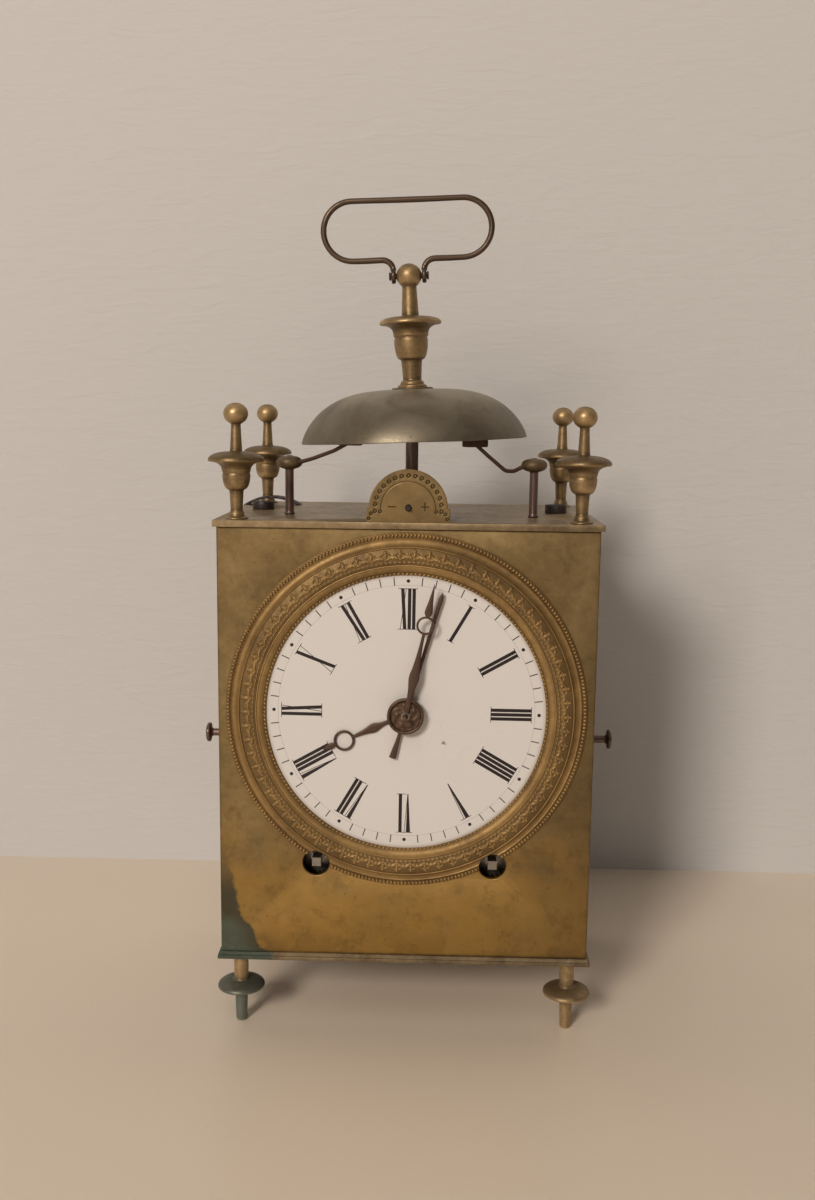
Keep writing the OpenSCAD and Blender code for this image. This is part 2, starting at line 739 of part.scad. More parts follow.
module minute_wheel() {
    color(brass) difference() {
        union() {
            wheel(minute_at, minute_teeth, cannon_m, minute_phase, 8.7, 10, 3, 0, 0);
            pinion(minute_at, nut_leaves, hour_m, minute_phase, 5.2, 8.8);
        }
        bar(minute_at, 1 + play, 4, 12);
    }
}

// ---------------------------------------------------------------- frame of the movement

plate_half_w = 54;
plate_top = 176;
pillar_spots = [[-48, 36], [48, 36], [-50, 170], [50, 170], [0, 40]];

module plate(d, holes) {
    difference() {
        slab(d, d + plate_t) translate([-plate_half_w, case_floor])
            square([2 * plate_half_w, plate_top - case_floor]);
        for (h = holes) bar([h[0], h[1]], h[2], d - 1, d + plate_t + 1);
    }
}

function with_r(spots, r) = [for (s = spots) [s[0], s[1], r]];
train_spots = [second_at, third_at, escape_at, strike_second_at, pin_at, warning_at, fly_at, alarm_wheel_at];
barrel_spots = [going_at, strike_at];
winding_arbor_r = 2.4;

module movement_front_plate() {
    color(brass) {
        plate(front_plate_d, concat(with_r(train_spots, pivot_r + play), with_r([centre], 1.6 + play),
            with_r([anchor_at, alarm_at], pivot_r + play), with_r(barrel_spots, winding_arbor_r + play)));
        bar(minute_at, 1, 4.6, front_plate_d + 0.1);
        for (at = [click_at(going_at), click_at(strike_at)]) bar(at, 1, 7.4, front_plate_d + 0.1);
        for (xy = [strike_arbor_xy, alarm_arbor_xy]) difference() {
            translate([xy[0] - 4, front_y + front_plate_d + plate_t - 0.1, arbor_foot_z - 2.4])
                cube([8, 19, 2]);
            translate([xy[0], xy[1], arbor_foot_z - 3]) cylinder(r = pivot_r + play, h = 4);
        }
    }
}

module movement_back_plate() {
    color(brass) {
        plate(back_plate_d, concat(with_r([for (s = train_spots) if (s != pin_at) s], pivot_r + play),
            with_r([centre], 1 + play), with_r([pin_at], 1.2 + play), with_r([anchor_at], 1.2 + play),
            with_r([alarm_at], 1.5 + play), with_r(barrel_spots, 1.6 + play)));
        bar(count_at, 1, back_plate_d + plate_t - 0.1, 56);
    }
}

module movement_pillars() {
    color(brass) for (s = pillar_spots) bar(s, 2.2, front_plate_d + plate_t, back_plate_d);
}

// ---------------------------------------------------------------- going train

// A barrel: toothed edge at the front and a hollow drum behind it
module barrel(at) {
    color(brass) difference() {
        union() {
            wheel(at, barrel_teeth, barrel_m, 0, 15, 17.2, 3, 0, 0);
            bar(at, barrel_r, 17.1, 35);
        }
        bar(at, barrel_r - 1.2, 17.6, 33.8);
        bar(at, winding_arbor_r + play, 14, 36);
    }
}

ratchet_r = 7;
ratchet_teeth = 24;

// Saw teeth round a circle, steep on one side
module saw_2d(teeth, tip_r, depth, way) {
    polygon([for (i = [0:teeth - 1], k = [0, 0.92]) let (a = way * (i + k) * 360 / teeth, r = tip_r - (k > 0 ? 0 : depth))
        r * [cos(a), sin(a)]]);
}

// Arbor that the key turns: square end, ratchet, and the core of the mainspring
module winding_arbor(at) {
    color(steel) {
        translate([at[0] - 1.55, front_y + 0.6, at[1] - 1.55]) cube([3.1, 8.5, 3.1]);
        bar(at, winding_arbor_r, 5.6, 49);
        bar(at, 1.6, 48.9, back_plate_d + plate_t - 0.2);
        slab(8, 10.2) translate(at) saw_2d(ratchet_teeth, ratchet_r, 1.1, 1);
        bar(at, 5.2, 18.4, 33);
    }
}

click_angle = 60;
function click_at(at) = along(at, 11.5, click_angle);

// Pawl that holds the ratchet against the mainspring
module click(at) {
    pivot = click_at(at);
    color(steel) difference() {
        slab(8.1, 10.1) hull() {
            translate(pivot) circle(r = 2.2);
            translate(along(at, ratchet_r + 0.75, click_angle - 34)) circle(r = 0.5);
        }
        bar(pivot, 1 + play, 7, 11);
    }
}

module going_barrel() { barrel(going_at); }
module going_winding_arbor() { winding_arbor(going_at); }
module going_click() { click(going_at); }
module strike_barrel() { barrel(strike_at); }
module strike_winding_arbor() { winding_arbor(strike_at); }
module strike_click() { click(strike_at); }

module going_second_wheel() {
    color(brass) {
        wheel(second_at, barrel_teeth, barrel_m, second_phase, 38.6, 40.4);
        pinion(second_at, barrel_leaves, barrel_m, second_phase, 14.2, 18);
        arbor(second_at);
    }
}

module third_wheel() {
    color(brass) {
        wheel(third_at, third_teeth, third_m, third_phase, 44.2, 45.4);
        pinion(third_at, small_leaves, centre_m, third_phase, 19, 22.4);
        arbor(third_at, 1.1);
    }
}

module escape_wheel() {
    color(brass) {
        slab(30, 31) translate(escape_at) difference() {
            saw_2d(escape_teeth, escape_r, 1.6, -1);
            difference() {
                circle(r = escape_r - 3);
                circle(r = 2.4);
                for (i = [0:3]) rotate(i * 90) translate([0, -0.5]) square([escape_r, 1]);
            }
        }
        pinion(escape_at, small_leaves, third_m, escape_phase, 43.4, 46.2);
        arbor(escape_at, 0.95);
    }
}

// Anchor with its two pallets, and the crutch behind the back plate
module anchor() {
    reach = escape_r + 0.9;
    color(steel) {
        slab(29.4, 31.6) {
            for (s = [-1, 1]) {
                hull() {
                    translate(anchor_at) circle(r = 1.9);
                    translate(escape_at + (reach + 1.6) * [s * sin(46), cos(46)]) circle(r = 0.9);
                }
                hull() {
                    translate(escape_at + (reach + 1.6) * [s * sin(46), cos(46)]) circle(r = 0.9);
                    translate(escape_at + (reach + 0.5) * [s * sin(52), cos(52)]) circle(r = 0.5);
                }
            }
        }
        bar(anchor_at, 1.2, front_plate_d + plate_t + 0.4, 57);
        bar(anchor_at, pivot_r, front_plate_d + 0.2, 20);
        translate([-1, front_y + 55, anchor_at[1] - 36]) cube([2, 1.2, 36]);
        for (s = [-1, 1]) translate([s * 1.9 - 0.6, front_y + 55, anchor_at[1] - 36]) cube([1.2, 13, 1.6]);
        translate([-2.5, front_y + 55, anchor_at[1] - 36]) cube([5, 1.2, 1.6]);
    }
}

module regulator_arbor() {
    color(steel) {
        bar([0, regulator_z], 1, 0.5, 71);
        translate([-0.75, front_y - 0.2, regulator_z - 0.75]) cube([1.5, 1, 1.5]);
    }
}

module suspension_cock() {
    color(brass) difference() {
        union() {
            slab(68.6, 70.6) {
                translate([-4, top_z]) square([8, 5]);
                translate([0, regulator_z]) circle(r = 4);
            }
            translate([-4, front_y + 68.6, top_z]) cube([8, 8, 1.6]);
        }
        bar([0, regulator_z], 1 + play, 60, 80);
    }
}

// Loop of silk thread round the regulator arbor
module suspension_silk() {
    thread = 0.35;
    loop_r = 1.4;
    color(silk) translate([0, front_y + pendulum_d, 0]) {
        translate([0, 0, regulator_z]) rotate([90, 0, 0]) rotate_extrude(angle = 180)
            translate([loop_r, 0]) circle(d = thread, $fn = 14);
        for (s = [-1, 1]) translate([s * loop_r, 0, regulator_z - silk_len])
            cylinder(d = thread, h = silk_len, $fn = 14);
    }
}

module pendulum_rod() {
    hook_z = regulator_z - silk_len;
    color(steel) translate([0, front_y + pendulum_d, 0]) {
        translate([-2.4, -0.8, hook_z - 1.6]) cube([4.8, 1.6, 1.6]);
        translate([0, 0, bob_z - 20]) cylinder(r = 0.9, h = hook_z - bob_z + 19);
    }
}

module pendulum_bob() {
    color(brass) translate([0, front_y + pendulum_d, bob_z]) difference() {
        rotate([90, 0, 0]) turned(concat([for (i = [0:8]) let (t = -90 + 22.5 * i)
            [11 + 4 * cos(t), 3.4 * sin(t)]], [[0, 3.4]]));
        translate([-0.95, -0.95, -20]) cube([1.9, 1.9, 40]);
    }
}

// ---------------------------------------------------------------- strike train

module strike_second_wheel() {
    color(brass) {
        wheel(strike_second_at, barrel_teeth, barrel_m, strike_second_phase, 46.8, 48.6);
        pinion(strike_second_at, barrel_leaves, barrel_m, strike_second_phase, 14.2, 18);
        arbor(strike_second_at);
    }
}

pins = 10;

module pin_wheel() {
    color(brass) {
        wheel(pin_at, pin_teeth, pin_m, pin_phase, 23.6, 25);
        for (i = [0:pins - 1]) bar(along(pin_at, 15.6, i * 360 / pins + 18), 0.7, 24.9, 28);
        pinion(pin_at, barrel_leaves, barrel_m, pin_phase, 45.8, 49.6);
        bar(pin_at, 1.4, front_plate_d + plate_t + 0.4, back_plate_d - 0.4);
        bar(pin_at, pivot_r, front_plate_d + 0.2, 20);
        bar(pin_at, 1.2, 50, 56);
        pinion(pin_at, count_leaves, count_m, 0, 53.6, 56);
    }
}

module warning_wheel() {
    color(brass) {
        wheel(warning_at, warning_teeth, warning_m, warning_phase, 33, 34.2);
        pinion(warning_at, small_leaves, pin_m, warning_phase, 22.6, 26);
        arbor(warning_at, 1.2);
    }
}

module fly() {
    color(brass) {
        pinion(fly_at, small_leaves, warning_m, fly_phase, 32, 35.2);
        arbor(fly_at, 1);
        translate([fly_at[0] - 6.5, front_y + 37, fly_at[1] - 0.4]) cube([13, 12, 0.8]);
    }
}

// Locking plate: its notches are one to twelve blows apart, with one blow at each half-hour
module count_wheel() {
    blows = [for (h = [1:12], k = [h, 1]) k];
    sum_to = [for (i = 0, s = 0; i < len(blows); s = s + blows[i], i = i + 1) s];
    color(brass) slab(54, 55.2) translate(count_at) difference() {
        wheel_2d(count_teeth, count_m, meshed(0, count_leaves, count_teeth, -66), 4, 1 + play);
        for (s = sum_to) rotate(s * 360 / 90 - 20) translate([14.3, -0.35]) square([1.4, 0.7]);
    }
}

// ---------------------------------------------------------------- alarm

module alarm_barrel() {
    color(brass) {
        wheel(alarm_at, alarm_teeth, alarm_m, 0, 41.8, 43.2, 3, 0, 0);
        bar(alarm_at, 9, 43.1, 49.6);
        bar(alarm_at, 1.5, 13.4, 84);
        bar(alarm_at, pivot_r, front_plate_d + 0.2, 20);
        translate([alarm_at[0] - 1.4, front_y + 83.9, alarm_at[1] - 1.4]) cube([2.8, 3.4, 2.8]);
    }
}

module alarm_wheel() {
    color(brass) {
        slab(27.4, 28.6) translate(alarm_wheel_at) saw_2d(15, 8, 2, 1);
        pinion(alarm_wheel_at, small_leaves, alarm_m, alarm_phase, 40.8, 44.2);
        arbor(alarm_wheel_at, 1);
    }
}

front_panel();
back_panel();
top_plate();
base_plate();
case_pillars();
finials();
feet();
bezel();
dial();
regulator_plate();
top_plate_screws();
bow_spring();
bell_standard();
bell();
bell_washer();
bell_finial();
bail_pivot();
door_pins();
movement_front_plate();
movement_back_plate();
movement_pillars();
suspension_cock();
bail_handle();
left_door();
left_door_knob();
right_door();
right_door_knob();
strike_hammer_arbor();
strike_hammer();
alarm_hammer_arbor();
alarm_hammer();
minute_hand();
hand_boss();
centre_arbor();
centre_wheel();
hour_hand();
hour_wheel();
minute_wheel();
alarm_hand();
regulator_arbor();
going_barrel();
going_winding_arbor();
going_click();
going_second_wheel();
third_wheel();
escape_wheel();
anchor();
pendulum_rod();
pendulum_bob();
suspension_silk();
strike_barrel();
strike_winding_arbor();
strike_click();
strike_second_wheel();
pin_wheel();
warning_wheel();
fly();
count_wheel();
alarm_barrel();
alarm_wheel();
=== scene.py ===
"""Looks of a brass carriage clock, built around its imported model.

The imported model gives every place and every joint. This file adds the surfaces that
show: the stamped bezel, the enamel dial with its numerals, the hands, the turned
finials and feet, the bell, the hammers and the wire bail, and a finish for each node
that stays as it is. Lengths are in millimetres until a mesh is made.
"""

import json
import logging
import math
from dataclasses import dataclass
from enum import Enum
from typing import Optional, Sequence, Union

import bmesh
import bpy
import numpy as np
from mathutils import Matrix, Vector


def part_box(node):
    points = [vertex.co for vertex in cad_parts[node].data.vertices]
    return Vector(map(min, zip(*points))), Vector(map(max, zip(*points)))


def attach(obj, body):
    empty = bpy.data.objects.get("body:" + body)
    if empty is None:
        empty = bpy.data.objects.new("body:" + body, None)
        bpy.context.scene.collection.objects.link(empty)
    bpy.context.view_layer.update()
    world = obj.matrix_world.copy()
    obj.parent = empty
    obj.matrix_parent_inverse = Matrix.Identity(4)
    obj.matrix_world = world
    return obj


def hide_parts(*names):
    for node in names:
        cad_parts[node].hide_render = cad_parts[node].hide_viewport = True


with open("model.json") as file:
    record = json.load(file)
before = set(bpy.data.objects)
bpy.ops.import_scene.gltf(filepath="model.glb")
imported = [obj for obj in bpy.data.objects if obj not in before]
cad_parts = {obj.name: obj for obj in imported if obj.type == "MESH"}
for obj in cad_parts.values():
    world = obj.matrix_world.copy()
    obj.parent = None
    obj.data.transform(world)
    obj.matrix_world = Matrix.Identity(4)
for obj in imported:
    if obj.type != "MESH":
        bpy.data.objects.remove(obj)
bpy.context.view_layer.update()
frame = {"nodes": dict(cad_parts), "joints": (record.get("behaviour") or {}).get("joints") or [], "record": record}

MM = 0.001
TURN = 2.0 * math.pi
Grid = np.ndarray
Colour = tuple[float, float, float]
Socket = bpy.types.NodeSocket
Material = bpy.types.Material
Value = Union[float, Socket]

logging.basicConfig(level=logging.INFO, format="%(levelname)s %(message)s")
LOG = logging.getLogger("carriage_clock")


class Body(str, Enum):
    """Moving bodies that new pieces ride on."""

    CASE = "case"
    BAIL = "bail"
    LEFT_DOOR = "left_side_door"
    RIGHT_DOOR = "right_side_door"
    STRIKE_HAMMER = "strike_hammer_group"
    ALARM_HAMMER = "alarm_hammer_group"
    CENTRE = "centre_group"
    HOUR = "hour_group"
    ALARM = "alarm_hand_group"


class Side(Enum):
    """Left or right of the middle line, as a sign along X."""

    LEFT = -1
    RIGHT = 1


# ------------------------------------------------------------------ outlines


def rows(*points: Sequence[float]) -> Grid:
    """Points of an outline, each a radius and a height, as an array."""
    return np.array(points, float)


def bowl(a: Sequence[float], b: Sequence[float], steps: int = 16) -> Grid:
    """A quarter of an ellipse that leaves a sideways and reaches b going up.

    Radius follows the sine of the angle and height follows one minus its cosine.

    Args:
        a: First radius and height.
        b: Last radius and height.
        steps: Number of spans.

    Returns:
        The outline as (steps + 1, 2).
    """
    t = np.linspace(0.0, math.pi / 2, steps + 1)
    return np.stack([a[0] + (b[0] - a[0]) * np.sin(t), a[1] + (b[1] - a[1]) * (1 - np.cos(t))], 1)


def flare(a: Sequence[float], b: Sequence[float], steps: int = 16) -> Grid:
    """A quarter of an ellipse that leaves a going up and reaches b sideways.

    Args:
        a: First radius and height.
        b: Last radius and height.
        steps: Number of spans.

    Returns:
        The outline as (steps + 1, 2).
    """
    t = np.linspace(0.0, math.pi / 2, steps + 1)
    return np.stack([a[0] + (b[0] - a[0]) * (1 - np.cos(t)), a[1] + (b[1] - a[1]) * np.sin(t)], 1)


def dome(inner: float, base: float, across: float, rise: float, until: float = 90.0,
         steps: int = 20) -> Grid:
    """An elliptical dome: radius = inner + across cos t, height = base + rise sin t.

    Args:
        inner: Radius at the top of a full dome.
        base: Height where the dome starts.
        across: How far it stands out past the inner radius.
        rise: How far it rises.
        until: Last angle in degrees.
        steps: Number of spans.

    Returns:
        The outline as (steps + 1, 2).
    """
    t = np.radians(np.linspace(0.0, until, steps + 1))
    return np.stack([inner + across * np.cos(t), base + rise * np.sin(t)], 1)


def ball(neck: float, height: float, radius: float, half: float, steps: int = 28) -> Grid:
    """A ball above a neck, ending on the axis: radius sin t, height - half cos t.

    Args:
        neck: Radius of the neck that the ball sits on.
        height: Height of the ball's centre.
        radius: Radius of the ball.
        half: Half of the ball's height.
        steps: Number of spans.

    Returns:
        The outline as (steps + 1, 2).
    """
    t = np.linspace(math.asin(neck / radius), math.pi, steps + 1)
    return np.stack([np.maximum(radius * np.sin(t), 0.0), height - half * np.cos(t)], 1)


def eased(path: Grid, step: float = 0.16, reach: int = 2) -> Grid:
    """A path with equal steps and softened corners.

    The path is sampled at equal lengths, then each point becomes the mean of its
    neighbours, weighted by a triangle. The two ends stay.

    Args:
        path: Points (n, 2) or (n, 3).
        step: Length between samples.
        reach: Neighbours on each side that take part.

    Returns:
        The new points.
    """
    span = np.linalg.norm(np.diff(path, axis=0), axis=1)
    keep = np.concatenate([[True], span > 1e-9])
    path = path[keep]
    run = np.concatenate([[0.0], np.cumsum(np.linalg.norm(np.diff(path, axis=0), axis=1))])
    count = max(4, int(round(run[-1] / step)))
    at = np.linspace(0.0, run[-1], count + 1)
    even = np.stack([np.interp(at, run, path[:, k]) for k in range(path.shape[1])], 1)
    weight = np.concatenate([np.arange(1, reach + 2), np.arange(reach, 0, -1)]).astype(float)
    weight /= weight.sum()
    padded = np.concatenate([2 * even[:1] - even[reach:0:-1], even, 2 * even[-1:] - even[-2:-reach - 2:-1]])
    soft = np.stack([np.convolve(padded[:, k], weight, "valid") for k in range(path.shape[1])], 1)
    soft[0], soft[-1] = even[0], even[-1]
    return soft


def lathe_cut(outline: Grid, step: float, reach: int) -> Grid:
    """An eased outline that never crosses the axis: radii under nought become nought.

    Args:
        outline: Radii and heights.
        step: Length between points.
        reach: How far the easing goes, in points.

    Returns:
        The eased points.
    """
    shape = eased(outline, step, reach)
    shape[:, 0] = np.maximum(shape[:, 0], 0)
    return shape


def blurred(tone: Grid) -> Grid:
    """A row of tones, each the mean of seven neighbours."""
    return np.convolve(np.pad(tone, 3, mode="edge"), np.ones(7) / 7, "valid")


# ------------------------------------------------------------------ surfaces


def squarer(x: Grid, power: float) -> Grid:
    """A sine or cosine raised to a power with its sign kept; under one is squarer."""
    return np.sign(x) * np.abs(x) ** power


def axes_along(direction: Sequence[float], start: Sequence[float]) -> Grid:
    """Three unit rows: the start direction, the one a quarter turn on, and the axis.

    Args:
        direction: The axis.
        start: A direction that isn't along the axis, where angles start.

    Returns:
        A 3 by 3 array.
    """
    axis = np.array(direction, float)
    axis /= np.linalg.norm(axis)
    first = np.array(start, float)
    first -= axis * first.dot(axis)
    first /= np.linalg.norm(first)
    return np.stack([first, np.cross(axis, first), axis])


def turned(outline: Grid, columns: int = 64, at: Sequence[float] = (0, 0, 0),
           direction: Sequence[float] = (0, 0, 1), start: Sequence[float] = (1, 0, 0)) -> Grid:
    """A solid of revolution: at + r (cos a, sin a) across the axis + height along it.

    Args:
        outline: Radius and height of each row.
        columns: Number of columns round the axis.
        at: Point where the height is zero.
        direction: The axis.
        start: Where the angle starts.

    Returns:
        Points (rows, columns, 3).
    """
    u, v, w = axes_along(direction, start)
    a = np.linspace(0.0, TURN, columns, endpoint=False)
    ring = np.cos(a)[:, None] * u + np.sin(a)[:, None] * v
    return np.array(at, float) + outline[:, 0, None, None] * ring + outline[:, 1, None, None] * w


def swept(path: Grid, across: Grid, rise: Grid, flat: Sequence[float], sides: int = 20,
          power: float = 1.0) -> Grid:
    """A section carried along a path: path + across cos t (side) + rise sin t (up).

    The side is square to the path and to the flat direction. A power under one makes
    the section squarer. Both ends close onto the path.

    Args:
        path: Points (n, 3).
        across: Half-width at each point, or one number.
        rise: Half-height at each point, or one number.
        flat: Direction that the section's up leans to.
        sides: Points round the section.
        power: Exponent of cosine and sine.

    Returns:
        Points (n + 2, sides, 3).
    """
    tangent = np.gradient(path, axis=0)
    tangent /= np.linalg.norm(tangent, axis=1, keepdims=True)
    side = np.cross(tangent, np.array(flat, float))
    side /= np.linalg.norm(side, axis=1, keepdims=True)
    up = np.cross(side, tangent)
    t = np.linspace(0.0, TURN, sides, endpoint=False)
    c, s = squarer(np.cos(t), power), squarer(np.sin(t), power)
    across = np.broadcast_to(across, len(path))[:, None, None]
    rise = np.broadcast_to(rise, len(path))[:, None, None]
    grid = path[:, None] + across * c[None, :, None] * side[:, None] + rise * s[None, :, None] * up[:, None]
    ends = [np.repeat(path[k][None, None], sides, axis=1) for k in (0, -1)]
    return np.concatenate([ends[0], grid, ends[1]])


def pillow(at: Sequence[float], half: Sequence[float], spin: float = 0.0, power: float = 0.3,
           cut: int = 24) -> Grid:
    """A block with round edges: each coordinate is a signed power of cosine and sine.

    Args:
        at: Its centre.
        half: Half of its length, width and height.
        spin: Turn about Z in degrees.
        power: Under one for a squarer block.
        cut: Columns round it; half as many rows.

    Returns:
        Points (cut // 2 + 1, cut, 3).
    """
    p = np.linspace(-math.pi / 2, math.pi / 2, cut // 2 + 1)[:, None]
    a = np.linspace(0.0, TURN, cut, endpoint=False)[None]
    x = half[0] * squarer(np.cos(p), power) * squarer(np.cos(a), power)
    y = half[1] * squarer(np.cos(p), power) * squarer(np.sin(a), power)
    z = half[2] * squarer(np.sin(p), power) * np.ones_like(a)
    c, s = math.cos(math.radians(spin)), math.sin(math.radians(spin))
    return np.array(at, float) + np.stack([c * x - s * y, s * x + c * y, z], -1)


class Shell:
    """Collects closed surfaces in millimetres and makes them one object."""

    def __init__(self) -> None:
        """Starts empty."""
        self.points: list[Grid] = []
        self.faces: list[Grid] = []
        self.marks: list[Grid] = []
        self.count = 0

    def add(self, grid: Grid, round_rows: bool = False, round_columns: bool = True,
            mark: Optional[Grid] = None) -> "Shell":
        """Adds one grid of points, or a stack of equal grids, as four-sided faces.

        Args:
            grid: Points (rows, columns, 3) or (n, rows, columns, 3).
            round_rows: True if the last row joins the first.
            round_columns: True if the last column joins the first.
            mark: A number for each point, kept as the mesh's grime_shade_sheen attribute, which brass reads for
                grime, painted shade and a painted highlight.

        Returns:
            This shell.
        """
        stack = grid.reshape((-1,) + grid.shape[-3:])
        n, high, wide = stack.shape[:3]
        i = np.arange(high if round_rows else high - 1)[:, None]
        j = np.arange(wide if round_columns else wide - 1)[None]
        a, b = i * wide + j, i * wide + (j + 1) % wide
        c, d = (i + 1) % high * wide + (j + 1) % wide, (i + 1) % high * wide + j
        quads = np.stack([a, b, c, d], -1).reshape(1, -1, 4)
        offset = self.count + np.arange(n)[:, None, None] * high * wide
        self.points.append(stack.reshape(-1, 3))
        self.faces.append((quads + offset).reshape(-1, 4))
        self.marks.append(np.zeros(stack[..., 0].size) if mark is None
                          else np.broadcast_to(mark, stack.shape[:-1]).reshape(-1))
        self.count += n * high * wide
        return self

    def build(self, name: str, sharp: float = 40.0) -> bpy.types.Object:
        """Makes the object, with seams and poles closed and faces turned outwards.

        Args:
            name: Name of the piece.
            sharp: Angle in degrees past which an edge stays sharp.

        Returns:
            The new object, linked to the scene.
        """
        points = np.concatenate(self.points).astype(np.float32) * np.float32(MM)
        quads = np.concatenate(self.faces).astype(np.int32)
        mesh = bpy.data.meshes.new(name)
        mesh.vertices.add(len(points))
        mesh.vertices.foreach_set("co", points.ravel())
        mesh.loops.add(quads.size)
        mesh.loops.foreach_set("vertex_index", quads.ravel())
        mesh.polygons.add(len(quads))
        mesh.polygons.foreach_set("loop_start", np.arange(0, quads.size, 4, dtype=np.int32))
        grime_shade_sheen = mesh.attributes.new("grime_shade_sheen", "FLOAT", "POINT")
        grime_shade_sheen.data.foreach_set("value", np.concatenate(self.marks).astype(np.float32))
        mesh.update(calc_edges=True)
        close_mesh(mesh, recalculate=True)
        mesh.set_sharp_from_angle(angle=math.radians(sharp))
        return place(name, mesh)


def close_mesh(mesh: bpy.types.Mesh, recalculate: bool) -> None:
    """Merges doubles, drops flat faces, and turns faces outwards where asked.

    Args:
        mesh: The mesh.
        recalculate: True to point its faces outwards afresh.
    """
    work = bmesh.new()
    work.from_mesh(mesh)
    bmesh.ops.remove_doubles(work, verts=work.verts, dist=1.5e-6)
    bmesh.ops.dissolve_degenerate(work, dist=1e-7, edges=work.edges)
    if recalculate:
        bmesh.ops.recalc_face_normals(work, faces=work.faces)
    work.to_mesh(mesh)
    work.free()
    mesh.shade_smooth()


def place(name: str, mesh: bpy.types.Mesh) -> bpy.types.Object:
    """Makes an object of a mesh and links it to the scene.

    Args:
        name: Name of the object.
        mesh: The mesh.

    Returns:
        The object.
    """
    piece = bpy.data.objects.new(name, mesh)
    bpy.context.scene.collection.objects.link(piece)
    return piece


def softened(node: str, name: str, width: float) -> bpy.types.Object:
    """A merged copy of a node whose edges get a small bevel.

    Args:
        node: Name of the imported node.
        name: Name of the new piece.
        width: Width of the bevel in millimetres.

    Returns:
        The new piece.
    """
    mesh = frame["nodes"][node].data.copy()
    mesh.name = name
    mesh.materials.clear()
    close_mesh(mesh, recalculate=False)
    work = bmesh.new()
    work.from_mesh(mesh)
    bmesh.ops.dissolve_limit(work, angle_limit=math.radians(0.6), verts=work.verts, edges=work.edges,
                             delimit={"NORMAL"})
    work.to_mesh(mesh)
    work.free()
    piece = place(name, mesh)
    bevel = piece.modifiers.new("eased_edges", "BEVEL")
    bevel.width = width * MM
    bevel.segments = 2
    bevel.limit_method = "ANGLE"
    bevel.angle_limit = math.radians(40)
    bevel.harden_normals = True
    return piece


# ------------------------------------------------------------------ finishes


